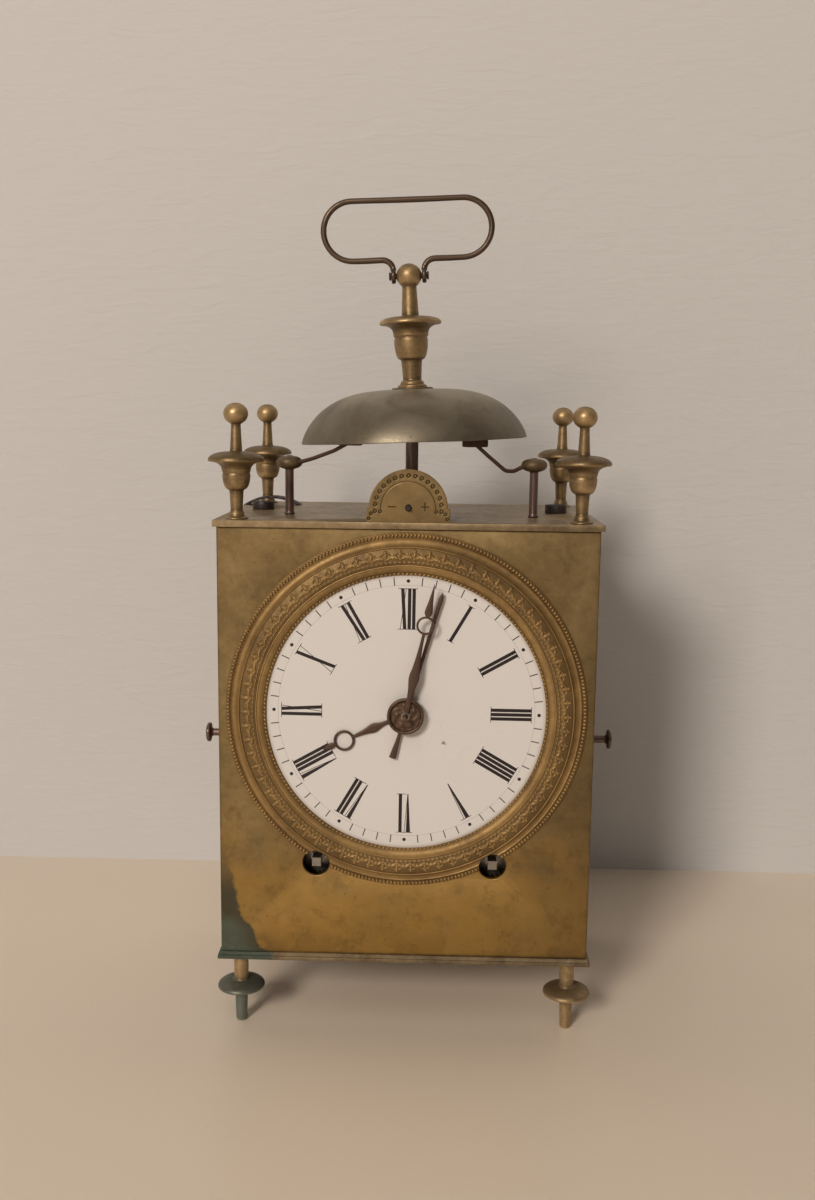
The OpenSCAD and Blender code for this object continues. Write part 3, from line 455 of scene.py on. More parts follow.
class Recipe:
    """Writes the nodes of one material. Its coordinates are millimetres."""

    def __init__(self, name: str) -> None:
        """Starts a material with an output and its coordinates.

        Args:
            name: Name of the material.
        """
        self.material = bpy.data.materials.new(name)
        self.material.use_nodes = True
        self.tree = self.material.node_tree
        self.tree.nodes.clear()
        self.out = self.node("ShaderNodeOutputMaterial")
        coordinate = self.node("ShaderNodeTexCoord").outputs["Object"]
        self.mm = self.vector("SCALE", coordinate, scale=1 / MM)
        split = self.node("ShaderNodeSeparateXYZ")
        self.link(self.mm, split.inputs[0])
        self.x, self.y, self.z = split.outputs

    def node(self, kind: str, **settings: object) -> bpy.types.Node:
        """A new node with its settings.

        Args:
            kind: Blender's name for the node.
            settings: Its settings.

        Returns:
            The node.
        """
        made = self.tree.nodes.new(kind)
        for key, value in settings.items():
            setattr(made, key, value)
        return made

    def link(self, value: object, socket: Socket) -> None:
        """Joins a socket to a socket, or sets a plain value on it."""
        if isinstance(value, Socket):
            self.tree.links.new(value, socket)
        elif isinstance(value, (tuple, list)) and len(value) == 3 and len(socket.default_value) == 4:
            socket.default_value = (*value, 1.0)
        else:
            socket.default_value = value

    def vector(self, operation: str, a: object, b: object = None, scale: Value = 1.0) -> Socket:
        """Vector arithmetic with a vector result; scale is for the SCALE operation.

        Args:
            operation: Name of the operation.
            a: First vector.
            b: Second vector.
            scale: Factor.

        Returns:
            The result.
        """
        made = self.node("ShaderNodeVectorMath", operation=operation)
        self.link(a, made.inputs[0])
        if b is not None:
            self.link(b, made.inputs[1])
        self.link(scale, made.inputs[3])
        return made.outputs[0]

    def math(self, operation: str, a: Value, b: Value = 0.0, clamp: bool = False) -> Socket:
        """Arithmetic on one or two values.

        Args:
            operation: Name of the operation.
            a: First value.
            b: Second value.
            clamp: True to hold the result in 0 to 1.

        Returns:
            The result.
        """
        made = self.node("ShaderNodeMath", operation=operation, use_clamp=clamp)
        for value, socket in zip((a, b), made.inputs):
            self.link(value, socket)
        return made.outputs[0]

    def plus(self, a: Value, b: Value) -> Socket:
        """The sum of two values."""
        return self.math("ADD", a, b)

    def minus(self, a: Value, b: Value) -> Socket:
        """The first value less the second."""
        return self.math("SUBTRACT", a, b)

    def times(self, a: Value, b: Value) -> Socket:
        """The product of two values."""
        return self.math("MULTIPLY", a, b)

    def stretch(self, x: float, y: float, z: float) -> Socket:
        """Coordinates multiplied along each axis, so that a pattern runs long."""
        return self.vector("MULTIPLY", self.mm, (x, y, z))

    def noise(self, scale: float, detail: float = 5.0, rough: float = 0.55, twist: float = 0.0,
              where: object = None) -> Socket:
        """Noise from 0 to 1, with scale in cycles for each millimetre.

        Args:
            scale: Scale, per millimetre.
            detail: Number of octaves.
            rough: Share of the finer octaves.
            twist: Distortion.
            where: Place to read, or the piece's own.

        Returns:
            The noise, 0 to 1.
        """
        made = self.node("ShaderNodeTexNoise")
        self.link(self.mm if where is None else where, made.inputs["Vector"])
        for key, value in (("Scale", scale), ("Detail", detail), ("Roughness", rough), ("Distortion", twist)):
            made.inputs[key].default_value = value
        return made.outputs["Fac"]

    def spots(self, scale: float) -> Socket:
        """Distance to the nearest of scattered points.

        Args:
            scale: Scale, per millimetre.

        Returns:
            The distance.
        """
        made = self.node("ShaderNodeTexVoronoi")
        self.link(self.mm, made.inputs["Vector"])
        made.inputs["Scale"].default_value = scale
        return made.outputs["Distance"]

    def step(self, value: Value, low: float, high: float) -> Socket:
        """A smooth step from 0 at low to 1 at high, or back if low is above high.

        Args:
            value: What is read.
            low: Where it starts.
            high: Where it ends.

        Returns:
            The step, 0 to 1.
        """
        made = self.node("ShaderNodeMapRange", interpolation_type="SMOOTHSTEP")
        flip = low > high
        self.link(value, made.inputs["Value"])
        made.inputs["From Min"].default_value = min(low, high)
        made.inputs["From Max"].default_value = max(low, high)
        made.inputs["To Min"].default_value = 1.0 if flip else 0.0
        made.inputs["To Max"].default_value = 0.0 if flip else 1.0
        return made.outputs["Result"]

    def spread(self, value: Value, low: float, high: float, start: float = 0.0,
               end: float = 1.0) -> Socket:
        """Maps low..high onto start..end in a straight line, held at both ends.

        Args:
            value: What is read.
            low: Where it starts.
            high: Where it ends.
            start: Result at low.
            end: Result at high.

        Returns:
            The mapped value.
        """
        made = self.node("ShaderNodeMapRange")
        for key, item in (("Value", value), ("From Min", low), ("From Max", high),
                          ("To Min", start), ("To Max", end)):
            self.link(item, made.inputs[key])
        return made.outputs["Result"]

    def blend(self, share: Value, a: object, b: object) -> Socket:
        """Mixes two colours.

        Args:
            share: Share of the second colour.
            a: First colour.
            b: Second colour.

        Returns:
            The mixed colour.
        """
        made = self.node("ShaderNodeMix", data_type="RGBA", blend_type="MIX")
        self.link(share, made.inputs[0])
        self.link(a, made.inputs[6])
        self.link(b, made.inputs[7])
        return made.outputs[2]

    def ramp(self, value: Value, stops: Sequence[tuple[float, Colour]]) -> Socket:
        """A colour ramp from its stops.

        Args:
            value: What is read.
            stops: Places and colours.

        Returns:
            The colour.
        """
        made = self.node("ShaderNodeValToRGB")
        self.link(value, made.inputs[0])
        points = made.color_ramp.elements
        while len(points) < len(stops):
            points.new(0.5)
        for point, (at, colour) in zip(points, stops):
            point.position = at
            point.color = (*colour, 1.0)
        return made.outputs["Color"]

    def grime_shade_sheen(self) -> Socket:
        """The mesh's own grime_shade_sheen attribute: low in hollows for grime and painted shade, high on crests
        for a painted highlight.
        """
        return self.node("ShaderNodeAttribute", attribute_name="grime_shade_sheen").outputs["Fac"]

    def bump(self, height: Value, depth: float, strength: float = 1.0,
             under: Optional[Socket] = None) -> Socket:
        """A bump of a depth in millimetres, over another one if given.

        Args:
            height: Height to read.
            depth: Depth in millimetres.
            strength: Strength.
            under: Normal that it adds to.

        Returns:
            The normal.
        """
        made = self.node("ShaderNodeBump")
        made.inputs["Strength"].default_value = strength
        made.inputs["Distance"].default_value = depth * MM
        self.link(height, made.inputs["Height"])
        if under is not None:
            self.link(under, made.inputs["Normal"])
        return made.outputs["Normal"]

    def finish(self, colour: object, rough: Value, metal: Value, normal: object = None,
               **constants: float) -> Material:
        """Joins the principled shader and returns the material.

        Args:
            colour: Base colour.
            rough: Roughness.
            metal: Metallic share.
            normal: Normal from a bump.
            constants: Plain numbers for other sockets, by name with _ for a space.

        Returns:
            The finished material.
        """
        shader = self.node("ShaderNodeBsdfPrincipled")
        self.link(colour, shader.inputs["Base Color"])
        self.link(rough, shader.inputs["Roughness"])
        self.link(metal, shader.inputs["Metallic"])
        if normal is not None:
            self.link(normal, shader.inputs["Normal"])
        for key, value in constants.items():
            shader.inputs[key.replace("_", " ")].default_value = value
        self.link(shader.outputs[0], self.out.inputs["Surface"])
        return self.material


def shade(colour: Colour, gain: float) -> Colour:
    """A colour times a gain, held at one."""
    return tuple(min(1.0, c * gain) for c in colour)


def srgb(red: float, green: float, blue: float) -> Colour:
    """A colour given as 0 to 255 on a screen, as linear light."""
    def linear(value: float) -> float:
        """One channel as linear light."""
        c = value / 255.0
        return c / 12.92 if c <= 0.04045 else ((c + 0.055) / 1.055) ** 2.4
    return linear(red), linear(green), linear(blue)


@dataclass(frozen=True)
class AgedBrass:
    """Old rolled or turned brass: mottled, spotted, scratched, darker in hollows with grime and painted shade,
    lighter on crests with a painted highlight.
    """

    name: str
    light: Colour
    deep: Colour
    dark: Colour
    rough: float = 0.42
    metal: float = 0.85
    mottle: float = 0.045
    spots: float = 0.5
    lathe: float = 0.0
    # Strength of the darkening in hollows, part grime and part painted shade; above nought it also turns on the
    # painted highlight on crests.
    grime_and_shade: float = 0.0

    def colour(self, r: Recipe) -> Socket:
        """Two layers of mottling under dark specks.

        Args:
            r: Recipe that takes the nodes.

        Returns:
            The colour.
        """
        broad = r.noise(self.mottle, 6, 0.62, 0.6)
        fine = r.noise(self.mottle * 9, 7, 0.68, 0.3)
        mixed = r.plus(r.times(broad, 0.62), r.times(fine, 0.38))
        base = r.ramp(mixed, [(0.33, self.dark), (0.5, self.deep), (0.68, self.light)])
        speck = r.step(r.noise(0.85, 3, 0.6, 0.2), 0.70, 0.78)
        tiny = r.step(r.spots(0.42), 0.10, 0.04)
        marks = r.math("MULTIPLY", r.math("MAXIMUM", speck, tiny), self.spots, clamp=True)
        return r.blend(marks, base, shade(self.dark, 0.28))

    def make(self) -> Material:
        """Builds the material.

        Returns:
            The material.
        """
        r = Recipe(self.name)
        colour = self.colour(r)
        rough = r.spread(r.noise(0.3, 5, 0.6), 0.3, 0.7, self.rough - 0.08, self.rough + 0.12)
        if self.grime_and_shade:
            grime_shade_sheen = r.grime_shade_sheen()
            # Hollows darkened: part grime, part painted shade.
            low = r.step(grime_shade_sheen, 0.7, 0.05)
            colour = r.blend(r.times(low, self.grime_and_shade), colour, shade(self.dark, 0.38))
            # Crests lightened towards pale brass: a painted highlight.
            high = r.times(r.step(grime_shade_sheen, 0.8, 1.0), r.spread(r.noise(0.08, 3), 0.35, 0.65, 0.2, 0.9))
            colour = r.blend(r.times(high, 0.5), colour, shade(self.light, 1.6))
        grain = r.noise(1.6, 4, 0.65)
        normal = r.bump(grain, 0.05, 0.5)
        if self.lathe:
            ring = r.noise(1.0, 3, 0.6, where=r.stretch(0.02, 0.02, 5.0))
            normal = r.bump(ring, 0.04, self.lathe, normal)
        return r.finish(colour, rough, self.metal, normal, Specular_IOR_Level=0.4)


@dataclass(frozen=True)
class CasePanelBrass(AgedBrass):
    """Rolled brass of the case: brighter and redder low down, green at one corner."""

    corner_x: float = -65.0
    corner_z: float = 29.0
    fall_height: float = 9.0
    fall_width: float = 11.5
    lump_z: float = 38.0
    lump_half: float = 3.6
    lump_width: float = 3.0
    least_width: float = 1.9
    depth_slope: float = 0.45
    warm: Colour = (0.4, 0.2, 0.05)
    teal: Colour = (0.1, 0.12, 0.1)

    def patch(self, r: Recipe) -> Socket:
        """Reach of the crusted corner.

        Its width from the left edge falls with height as an exponential, with one
        swelling about a centimetre up, and it dies out along the edge and behind the front.

        Args:
            r: The recipe being written.

        Returns:
            Millimetres from a point to the crust's edge, positive inside it.
        """
        fall = r.math("POWER", 2.718, r.times(r.minus(r.z, self.corner_z), -1 / self.fall_height))
        lump = r.times(r.minus(r.z, self.lump_z), 1 / self.lump_half)
        swell = r.math("POWER", 2.718, r.times(r.times(lump, lump), -1.0))
        width = r.plus(r.times(fall, self.fall_width), r.times(swell, self.lump_width))
        width = r.plus(width, r.spread(r.z, 48, 84, 3.2, -2.5))
        wander = r.plus(r.spread(r.noise(0.09, 3, 0.5), 0.3, 0.7, -1.4, 1.4),
                        r.spread(r.noise(0.6, 4, 0.6), 0.3, 0.7, -0.5, 0.5))
        behind = r.math("MAXIMUM", r.minus(r.y, FRONT + 1.5), 0.0)
        width = r.minus(r.plus(width, self.least_width), r.times(behind, self.depth_slope))
        return r.minus(r.plus(r.plus(width, wander), self.corner_x), r.x)

    def make(self) -> Material:
        """Builds the material from height, streaks, scratches and the green corner.

        Returns:
            The material.
        """
        r = Recipe(self.name)
        colour = self.colour(r)
        ragged = r.noise(0.05, 6, 0.62, 0.3)
        height = r.plus(r.z, r.spread(ragged, 0.2, 0.8, -26, 26))
        warm = r.times(r.step(height, 84, 46), r.spread(ragged, 0.3, 0.7, 0.5, 0.95))
        gold = r.blend(r.noise(0.1, 8, 0.7, 0.3), self.warm, shade(self.warm, 0.72))
        colour = r.blend(warm, colour, gold)
        right = r.step(r.plus(r.x, r.spread(ragged, 0.2, 0.8, -18, 18)), 22, 62)
        colour = r.blend(r.times(right, 0.4), colour, self.dark)
        blot = r.step(r.noise(0.13, 8, 0.72, 0.2), 0.5, 0.66)
        colour = r.blend(r.times(blot, 0.34), colour, shade(self.dark, 0.62))
        stain = r.step(r.noise(0.045, 7, 0.68, 0.2), 0.5, 0.57)
        low_band = r.step(r.plus(r.z, r.spread(ragged, 0.3, 0.7, -5, 5)), 41, 33)
        speck = r.step(r.noise(0.55, 3, 0.55, 0.2), 0.66, 0.72)
        colour = r.blend(r.times(speck, 0.42), colour, shade(self.dark, 0.5))
        colour = r.blend(r.times(r.times(stain, low_band), 0.26), colour,
                         tuple(c * k for c, k in zip(self.dark, (0.8, 0.62, 0.6))))
        scratch = r.step(r.noise(0.5, 2, 0.5, 0.1, r.stretch(0.06, 1, 3.2)), 0.66, 0.69)
        colour = r.blend(r.times(scratch, 0.14), colour, self.light)
        edge = r.math("MAXIMUM", r.step(r.math("ABSOLUTE", r.x), 64.0, 64.9),
                      r.math("MAXIMUM", r.step(r.z, 30.4, 29.2), r.step(r.z, 180.2, 181.2)))
        worn = r.times(edge, r.spread(r.noise(0.2, 4), 0.35, 0.65, 0.1, 0.75))
        colour = r.blend(worn, colour, shade(self.dark, 0.7))
        inside = self.patch(r)
        patch = r.times(r.step(inside, -0.9, 0.7), r.step(r.z, 72, 50))
        green = r.step(r.plus(r.z, r.spread(r.noise(0.1, 4, 0.6), 0.3, 0.7, -3, 3)), 47, 41)
        crust = r.blend(r.noise(0.3, 7, 0.72), self.teal, shade(self.teal, 0.36))
        bright = r.step(r.noise(0.9, 4, 0.6), 0.64, 0.74)
        crust = r.blend(r.times(bright, 0.5), crust, shade(self.teal, 2.2))
        soot = tuple((c + t) / 2 for c, t in zip(self.dark, self.teal))
        rust = r.blend(r.noise(0.2, 6, 0.7), shade(soot, 0.5), shade(soot, 0.26))
        crust = r.blend(r.step(inside, 6.5, 0.5), crust, shade(soot, 0.42))
        colour = r.blend(r.times(patch, 0.94), colour, r.blend(green, rust, crust))
        rough = r.spread(r.noise(0.25, 5, 0.6), 0.3, 0.7, self.rough - 0.09, self.rough + 0.12)
        rough = r.math("MAXIMUM", rough, r.times(patch, 0.8))
        metal = r.times(r.spread(patch, 0, 1, 1, 0.12), self.metal)
        wave = r.noise(0.035, 2, 0.4)
        normal = r.bump(wave, 0.5, 0.35)
        normal = r.bump(r.noise(1.3, 5, 0.65), 0.05, 0.45, normal)
        normal = r.bump(r.times(patch, r.noise(0.9, 6, 0.7)), 0.25, 0.8, normal)
        return r.finish(colour, rough, metal, normal, Specular_IOR_Level=0.4)


@dataclass(frozen=True)
class CornerBrass(AgedBrass):
    """Aged brass whose front left corner has gone green up to a given height."""

    reach: float = -47.0
    top: float = 30.0
    teal: Colour = (0.1, 0.12, 0.1)

    def colour(self, r: Recipe) -> Socket:
        """The aged colour under a crust at the front left.

        Args:
            r: Recipe that takes the nodes.

        Returns:
            The colour.
        """
        wander = r.spread(r.noise(0.25, 5, 0.65), 0.3, 0.7, -2.5, 2.5)
        left = r.step(r.plus(r.x, wander), self.reach + 1.5, self.reach - 1.5)
        front = r.step(r.y, 6.0, 0.0)
        below = r.step(r.plus(r.z, r.times(wander, 0.25)), self.top + 0.4, self.top - 0.4)
        mask = r.times(r.times(left, front), below)
        crust = r.blend(r.noise(0.4, 7, 0.72), self.teal, shade(self.teal, 0.42))
        bright = r.step(r.noise(1.1, 4, 0.6), 0.62, 0.74)
        crust = r.blend(r.times(bright, 0.45), crust, shade(self.teal, 1.9))
        return r.blend(r.times(mask, 0.9), super().colour(r), crust)


@dataclass(frozen=True)
class DarkSteel:
    """Brown or black oxidised steel with rust blooms and a worn sheen."""

    name: str
    base: Colour
    rust: Colour
    rough: float = 0.45
    metal: float = 0.8
    rusty: float = 0.5
    pitted: float = 0.7

    def make(self) -> Material:
        """Builds the material.

        Returns:
            The material.
        """
        r = Recipe(self.name)
        bloom = r.step(r.noise(0.35, 6, 0.7, 0.6), 0.45, 0.68)
        colour = r.blend(r.times(bloom, self.rusty), self.base, self.rust)
        worn = r.step(r.noise(1.4, 4, 0.6), 0.62, 0.74)
        colour = r.blend(r.times(worn, 0.5 * self.pitted), colour, shade(self.base, 2.4))
        rough = r.spread(bloom, 0, 1, self.rough - 0.05, self.rough + 0.05 + 0.4 * self.rusty)
        metal = r.spread(bloom, 0, 1, self.metal, self.metal * (1 - 0.9 * self.rusty))
        normal = r.bump(r.noise(1.4, 5, 0.65), 0.05, self.pitted)
        return r.finish(colour, rough, metal, normal, Specular_IOR_Level=0.5)


@dataclass(frozen=True)
class MovementMetal:
    """Brushed and lacquered metal of the movement, in brass or steel."""

    name: str
    base: Colour
    rough: float = 0.3

    def make(self) -> Material:
        """Builds the material, with its brush marks along the height.

        Returns:
            The material.
        """
        r = Recipe(self.name)
        brush = r.noise(1.0, 4, 0.7, where=r.stretch(4.0, 4.0, 0.12))
        dull = r.noise(0.1, 5, 0.6, 0.4)
        dark = shade(self.base, 0.62)
        colour = r.blend(r.spread(dull, 0.35, 0.7), self.base, dark)
        colour = r.blend(r.times(brush, 0.18), colour, shade(self.base, 1.3))
        rough = r.spread(brush, 0.3, 0.7, self.rough, self.rough + 0.14)
        return r.finish(colour, rough, 0.95, r.bump(brush, 0.02, 0.35))


@dataclass(frozen=True)
class Enamel:
    """Fired white enamel: warm, glossy, with faint grey scratches and specks."""

    name: str
    base: Colour
    chip_right: float = 13.3
    chip_down: float = 10.0

    def make(self) -> Material:
        """Builds the material: clouds, specks, arc scratches, a chip and a rim darkened by grime and painted shade
        under the bezel.

        Returns:
            The material.
        """
        r = Recipe(self.name)
        cloud = r.noise(0.03, 3, 0.5)
        aged = tuple(c * k for c, k in zip(self.base, (0.975, 0.965, 0.955)))
        colour = r.blend(r.spread(cloud, 0.1, 0.9), self.base, aged)
        speck = r.step(r.noise(1.1, 2, 0.5), 0.795, 0.815)
        colour = r.blend(r.times(speck, 0.45), colour, (0.30, 0.24, 0.17))
        # handling scratches right of the centre, in arcs round the arbor
        cx, cz = DIAL.x, DIAL.z
        dx, dz = r.minus(r.x, cx), r.minus(r.z, cz)
        radius = r.math("SQRT", r.plus(r.times(dx, dx), r.times(dz, dz)))
        arc = r.node("ShaderNodeCombineXYZ")
        r.link(r.times(radius, 2.4), arc.inputs[0])
        r.link(r.times(r.math("ARCTAN2", dz, dx), 2.2), arc.inputs[1])
        line = r.step(r.noise(1.0, 3, 0.55, 0.15, arc.outputs[0]), 0.63, 0.665)
        zone = r.times(r.step(radius, 20, 9), r.step(dx, -2, 6))
        colour = r.blend(r.times(r.times(line, zone), 0.22), colour, (0.38, 0.32, 0.24))
        rise, side = r.plus(r.z, self.chip_down - cz), r.minus(dx, self.chip_right)
        away = r.math("SQRT", r.plus(r.times(rise, rise), r.times(side, side)))
        away = r.plus(away, r.spread(r.noise(1.6, 3, 0.6), 0.3, 0.7, -0.45, 0.45))
        colour = r.blend(r.times(r.step(away, 0.75, 0.45), 0.75), colour, (0.12, 0.09, 0.07))
        # Brown ring just inside the bezel: part grime, part painted shade from the bezel's edge.
        rim_dirt_and_shade = r.times(r.step(radius, 46.6, 48.2), 0.4)
        colour = r.blend(rim_dirt_and_shade, colour, (0.33, 0.25, 0.16))
        normal = r.bump(r.noise(0.07, 2, 0.5), 0.12, 0.2)
        rough = r.spread(cloud, 0.1, 0.9, 0.22, 0.3)
        return r.finish(colour, rough, 0.0, normal, Coat_Weight=0.35, Coat_Roughness=0.12)


@dataclass(frozen=True)
class BellMetal:
    """High-tin bronze gone grey-green, with cast pits, pale blotches and a painted highlight on its top."""

    name: str
    base: Colour
    pale: Colour
    brown: Colour
    highlight_from: float = 220.0
    highlight_full: float = 228.5

    def make(self) -> Material:
        """Builds the material.

        Returns:
            The material.
        """
        r = Recipe(self.name)
        patch = r.noise(0.06, 6, 0.65, 0.5)
        colour = r.ramp(patch, [(0.3, self.brown), (0.5, self.base), (0.72, self.pale)])
        pit = r.step(r.spots(0.5), 0.13, 0.05)
        few = r.step(r.noise(0.22, 3, 0.5), 0.5, 0.62)
        pits = r.times(pit, few)
        colour = r.blend(r.times(pits, 0.8), colour, shade(self.base, 0.2))
        fine = r.noise(0.9, 5, 0.7)
        colour = r.blend(r.times(r.step(fine, 0.55, 0.75), 0.35), colour, self.brown)
        # Painted highlight: the top of the bell lightened, standing for light from above.
        height = r.plus(r.z, r.spread(patch, 0.3, 0.7, -2, 2))
        top_highlight = r.times(r.step(height, self.highlight_from, self.highlight_full), 0.7)
        colour = r.blend(top_highlight, colour, shade(self.pale, 1.7))
        ring = r.noise(1.0, 3, 0.6, where=r.stretch(0.02, 0.02, 2.2))
        normal = r.bump(fine, 0.06, 0.6)
        normal = r.bump(ring, 0.05, 0.3, normal)
        normal = r.bump(r.times(pits, -1.0), 0.25, 1.0, normal)
        rough = r.spread(fine, 0.3, 0.7, 0.38, 0.52)
        return r.finish(colour, rough, 0.72, normal, Specular_IOR_Level=0.4)


@dataclass(frozen=True)
class Plain:
    """Paint or thread: one colour with a light grain."""

    name: str
    base: Colour
    rough: float
    grain: float = 0.5
    scale: float = 1.2
    depth: float = 0.02

    def make(self) -> Material:
        """Builds the material.

        Returns:
            The material.
        """
        r = Recipe(self.name)
        grain = r.noise(self.scale, 4, 0.6)
        colour = r.blend(r.times(grain, self.grain * 0.25), self.base, shade(self.base, 0.8))
        return r.finish(colour, r.spread(grain, 0.3, 0.7, self.rough, min(1.0, self.rough + 0.1)), 0.0,
                        r.bump(grain, self.depth, 0.4))


def low_high(node: str) -> tuple[Vector, Vector]:
    """Corners of a node's box in millimetres."""
    low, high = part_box(node)
    return low / MM, high / MM


FRONT = low_high("front_panel")[0].y
CASE_RIGHT = low_high("front_panel")[1].x
TOP_Z = low_high("top_plate")[1].z
BASE_Z = low_high("base_plate")[0].z
DIAL = sum(low_high("dial"), Vector()) / 2
MID_Y = (FRONT + low_high("back_panel")[1].y) / 2
BAIL_JOINT = next(j for j in frame["joints"] if j["name"] == "bail_swing")
LEAN = math.atan2(BAIL_JOINT["axis"][2], BAIL_JOINT["axis"][0])
LEAN_Z = low_high("bell_standard")[1].z


class Slot(str, Enum):
    """The record's material slots."""

    CASE = "case_brass"
    TOP = "dark_brass"
    BEZEL = "bezel_brass"
    TURNED = "turned_brass"
    DIAL = "dial_enamel"
    BELL = "bell_metal"
    DARK = "dark_steel"
    HAND = "hand_steel"
    BAIL = "bail_steel"
    GEARS = "movement_brass"
    ARBORS = "movement_steel"
    SILK = "silk"


class Finishes:
    """Every material of the clock, made once."""

    def __init__(self) -> None:
        """Makes the materials."""
        self.by_slot: dict[Slot, Material] = {
            Slot.CASE: CasePanelBrass("case_brass", srgb(154, 134, 93), srgb(134, 114, 76), srgb(108, 89, 59),
                                      0.46, 0.62, 0.03, 0.5, warm=srgb(186, 147, 74),
                                      teal=srgb(92, 108, 98)).make(),
            Slot.TOP: AgedBrass("dark_brass", srgb(178, 158, 126), srgb(150, 132, 103), srgb(116, 100, 77),
                                0.36, 0.65, 0.05, 0.6).make(),
            Slot.BEZEL: AgedBrass("bezel_brass", srgb(176, 146, 96), srgb(152, 124, 80), srgb(124, 100, 66),
                                  0.52, 0.55, 0.06, 0.25, grime_and_shade=0.6).make(),
            Slot.TURNED: AgedBrass("turned_brass", srgb(174, 150, 112), srgb(146, 124, 90), srgb(108, 92, 69),
                                   0.42, 0.65, 0.12, 0.4, lathe=0.5, grime_and_shade=0.5).make(),
            Slot.DIAL: Enamel("dial_enamel", srgb(226, 226, 228)).make(),
            Slot.BELL: BellMetal("bell_metal", srgb(125, 118, 104), srgb(136, 130, 115),
                                 srgb(109, 99, 84)).make(),
            Slot.DARK: DarkSteel("dark_steel", srgb(58, 50, 50), srgb(76, 60, 52), 0.42, 0.55, 0.5).make(),
            Slot.HAND: DarkSteel("hand_steel", srgb(88, 70, 62), srgb(98, 72, 56), 0.5, 0.6, 0.6).make(),
            Slot.BAIL: DarkSteel("bail_steel", srgb(92, 78, 66), srgb(84, 62, 46), 0.4, 0.75, 0.5).make(),
            Slot.GEARS: MovementMetal("movement_brass", srgb(196, 160, 92)).make(),
            Slot.ARBORS: MovementMetal("movement_steel", srgb(168, 162, 156), 0.26).make(),
            Slot.SILK: Plain("silk", srgb(196, 184, 150), 0.8, 1.0, 6.0, 0.05).make(),
        }
        self.paint = Plain("numeral_paint", srgb(34, 24, 30), 0.35, 0.4).make()
        self.boss = DarkSteel("boss_bronze", srgb(92, 74, 62), srgb(122, 94, 72), 0.46, 0.75, 0.6).make()
        self.collet = AgedBrass("collet_brass", srgb(124, 106, 80), srgb(104, 88, 66), srgb(78, 64, 50),
                                0.5, 0.5, 0.2, 0.5).make()
        self.standing = DarkSteel("post_steel", srgb(112, 94, 90), srgb(108, 84, 74),
                                  0.34, 0.6, 0.15, 0.1).make()
        # Pale grey on the black rod of the standard: painted light, so that it reads as lit where it lies in the
        # bell's shade.
        self.lit_rod = DarkSteel("rod_steel_lit", srgb(140, 124, 124), srgb(128, 108, 102),
                             0.36, 0.2, 0.4, 0.3).make()
        self.black = DarkSteel("blued_steel", srgb(50, 44, 46), srgb(62, 50, 46), 0.5, 0.2, 0.5, 0.5).make()
        # Feet: a lighter copy of the turned brass, standing for bounce light from the table under them, which is
        # painted light; the green crust at the front left is their own.
        self.feet = CornerBrass("foot_brass_bounce_lit", srgb(196, 170, 130), srgb(168, 144, 106), srgb(126, 108, 82),
                                0.46, 0.5, 0.12, 0.4, lathe=0.4, grime_and_shade=0.5, reach=-40.0, top=16.3,
                                teal=srgb(128, 144, 138)).make()
        self.scale = AgedBrass("scale_brass", srgb(136, 116, 80), srgb(118, 99, 66), srgb(94, 78, 52),
                               0.46, 0.6, 0.1, 0.4, grime_and_shade=0.8).make()
        self.base_brass = CornerBrass("base_brass", srgb(150, 138, 112), srgb(127, 112, 88), srgb(94, 82, 64),
                                      0.46, 0.6, 0.08, 0.6, reach=-46.5, top=33.0,
                                      teal=srgb(92, 108, 100)).make()

    def dress(self, piece: bpy.types.Object, slot: Slot, other: Optional[Material] = None) -> None:
        """Gives a piece its material, the slot's own or another.

        Args:
            piece: The piece.
            slot: Its slot.
            other: Material in place of the slot's own.
        """
        piece.data.materials.clear()
        piece.data.materials.append(other or self.by_slot[slot])

    def keep(self, node: str, slot: Slot, other: Optional[Material] = None) -> None:
        """Gives a node that stays its material, in the slots that it has.

        Args:
            node: Name of the node.
            slot: Its slot.
            other: Material in place of the slot's own.
        """
        piece = frame["nodes"][node]
        if not piece.material_slots:
            piece.data.materials.append(None)
        for holder in piece.material_slots:
            holder.material = other or self.by_slot[slot]


@dataclass
class Assembly:
    """A group of pieces that share the finishes."""

    finishes: Finishes

    def report(self, piece: bpy.types.Object, body: Body, slot: Slot, *nodes: str,
               other: Optional[Material] = None) -> bpy.types.Object:
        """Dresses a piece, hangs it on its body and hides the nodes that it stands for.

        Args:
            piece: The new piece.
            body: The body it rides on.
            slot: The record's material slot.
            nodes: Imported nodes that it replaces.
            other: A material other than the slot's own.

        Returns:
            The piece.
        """
        self.finishes.dress(piece, slot, other)
        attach(piece, body.value)
        if nodes:
            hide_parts(*nodes)
        LOG.info("%s: %d faces, rides on %s", piece.name, len(piece.data.polygons), body.value)
        return piece


# ------------------------------------------------------------------ sub-assemblies


def on_dial(radius: Grid, clockwise: Grid, depth: Grid) -> Grid:
    """Points from a radius, an angle clockwise from twelve and a height off the case."""
    return np.stack([DIAL.x + radius * np.sin(clockwise), FRONT - depth + 0 * radius,
                     DIAL.z + radius * np.cos(clockwise)], -1)


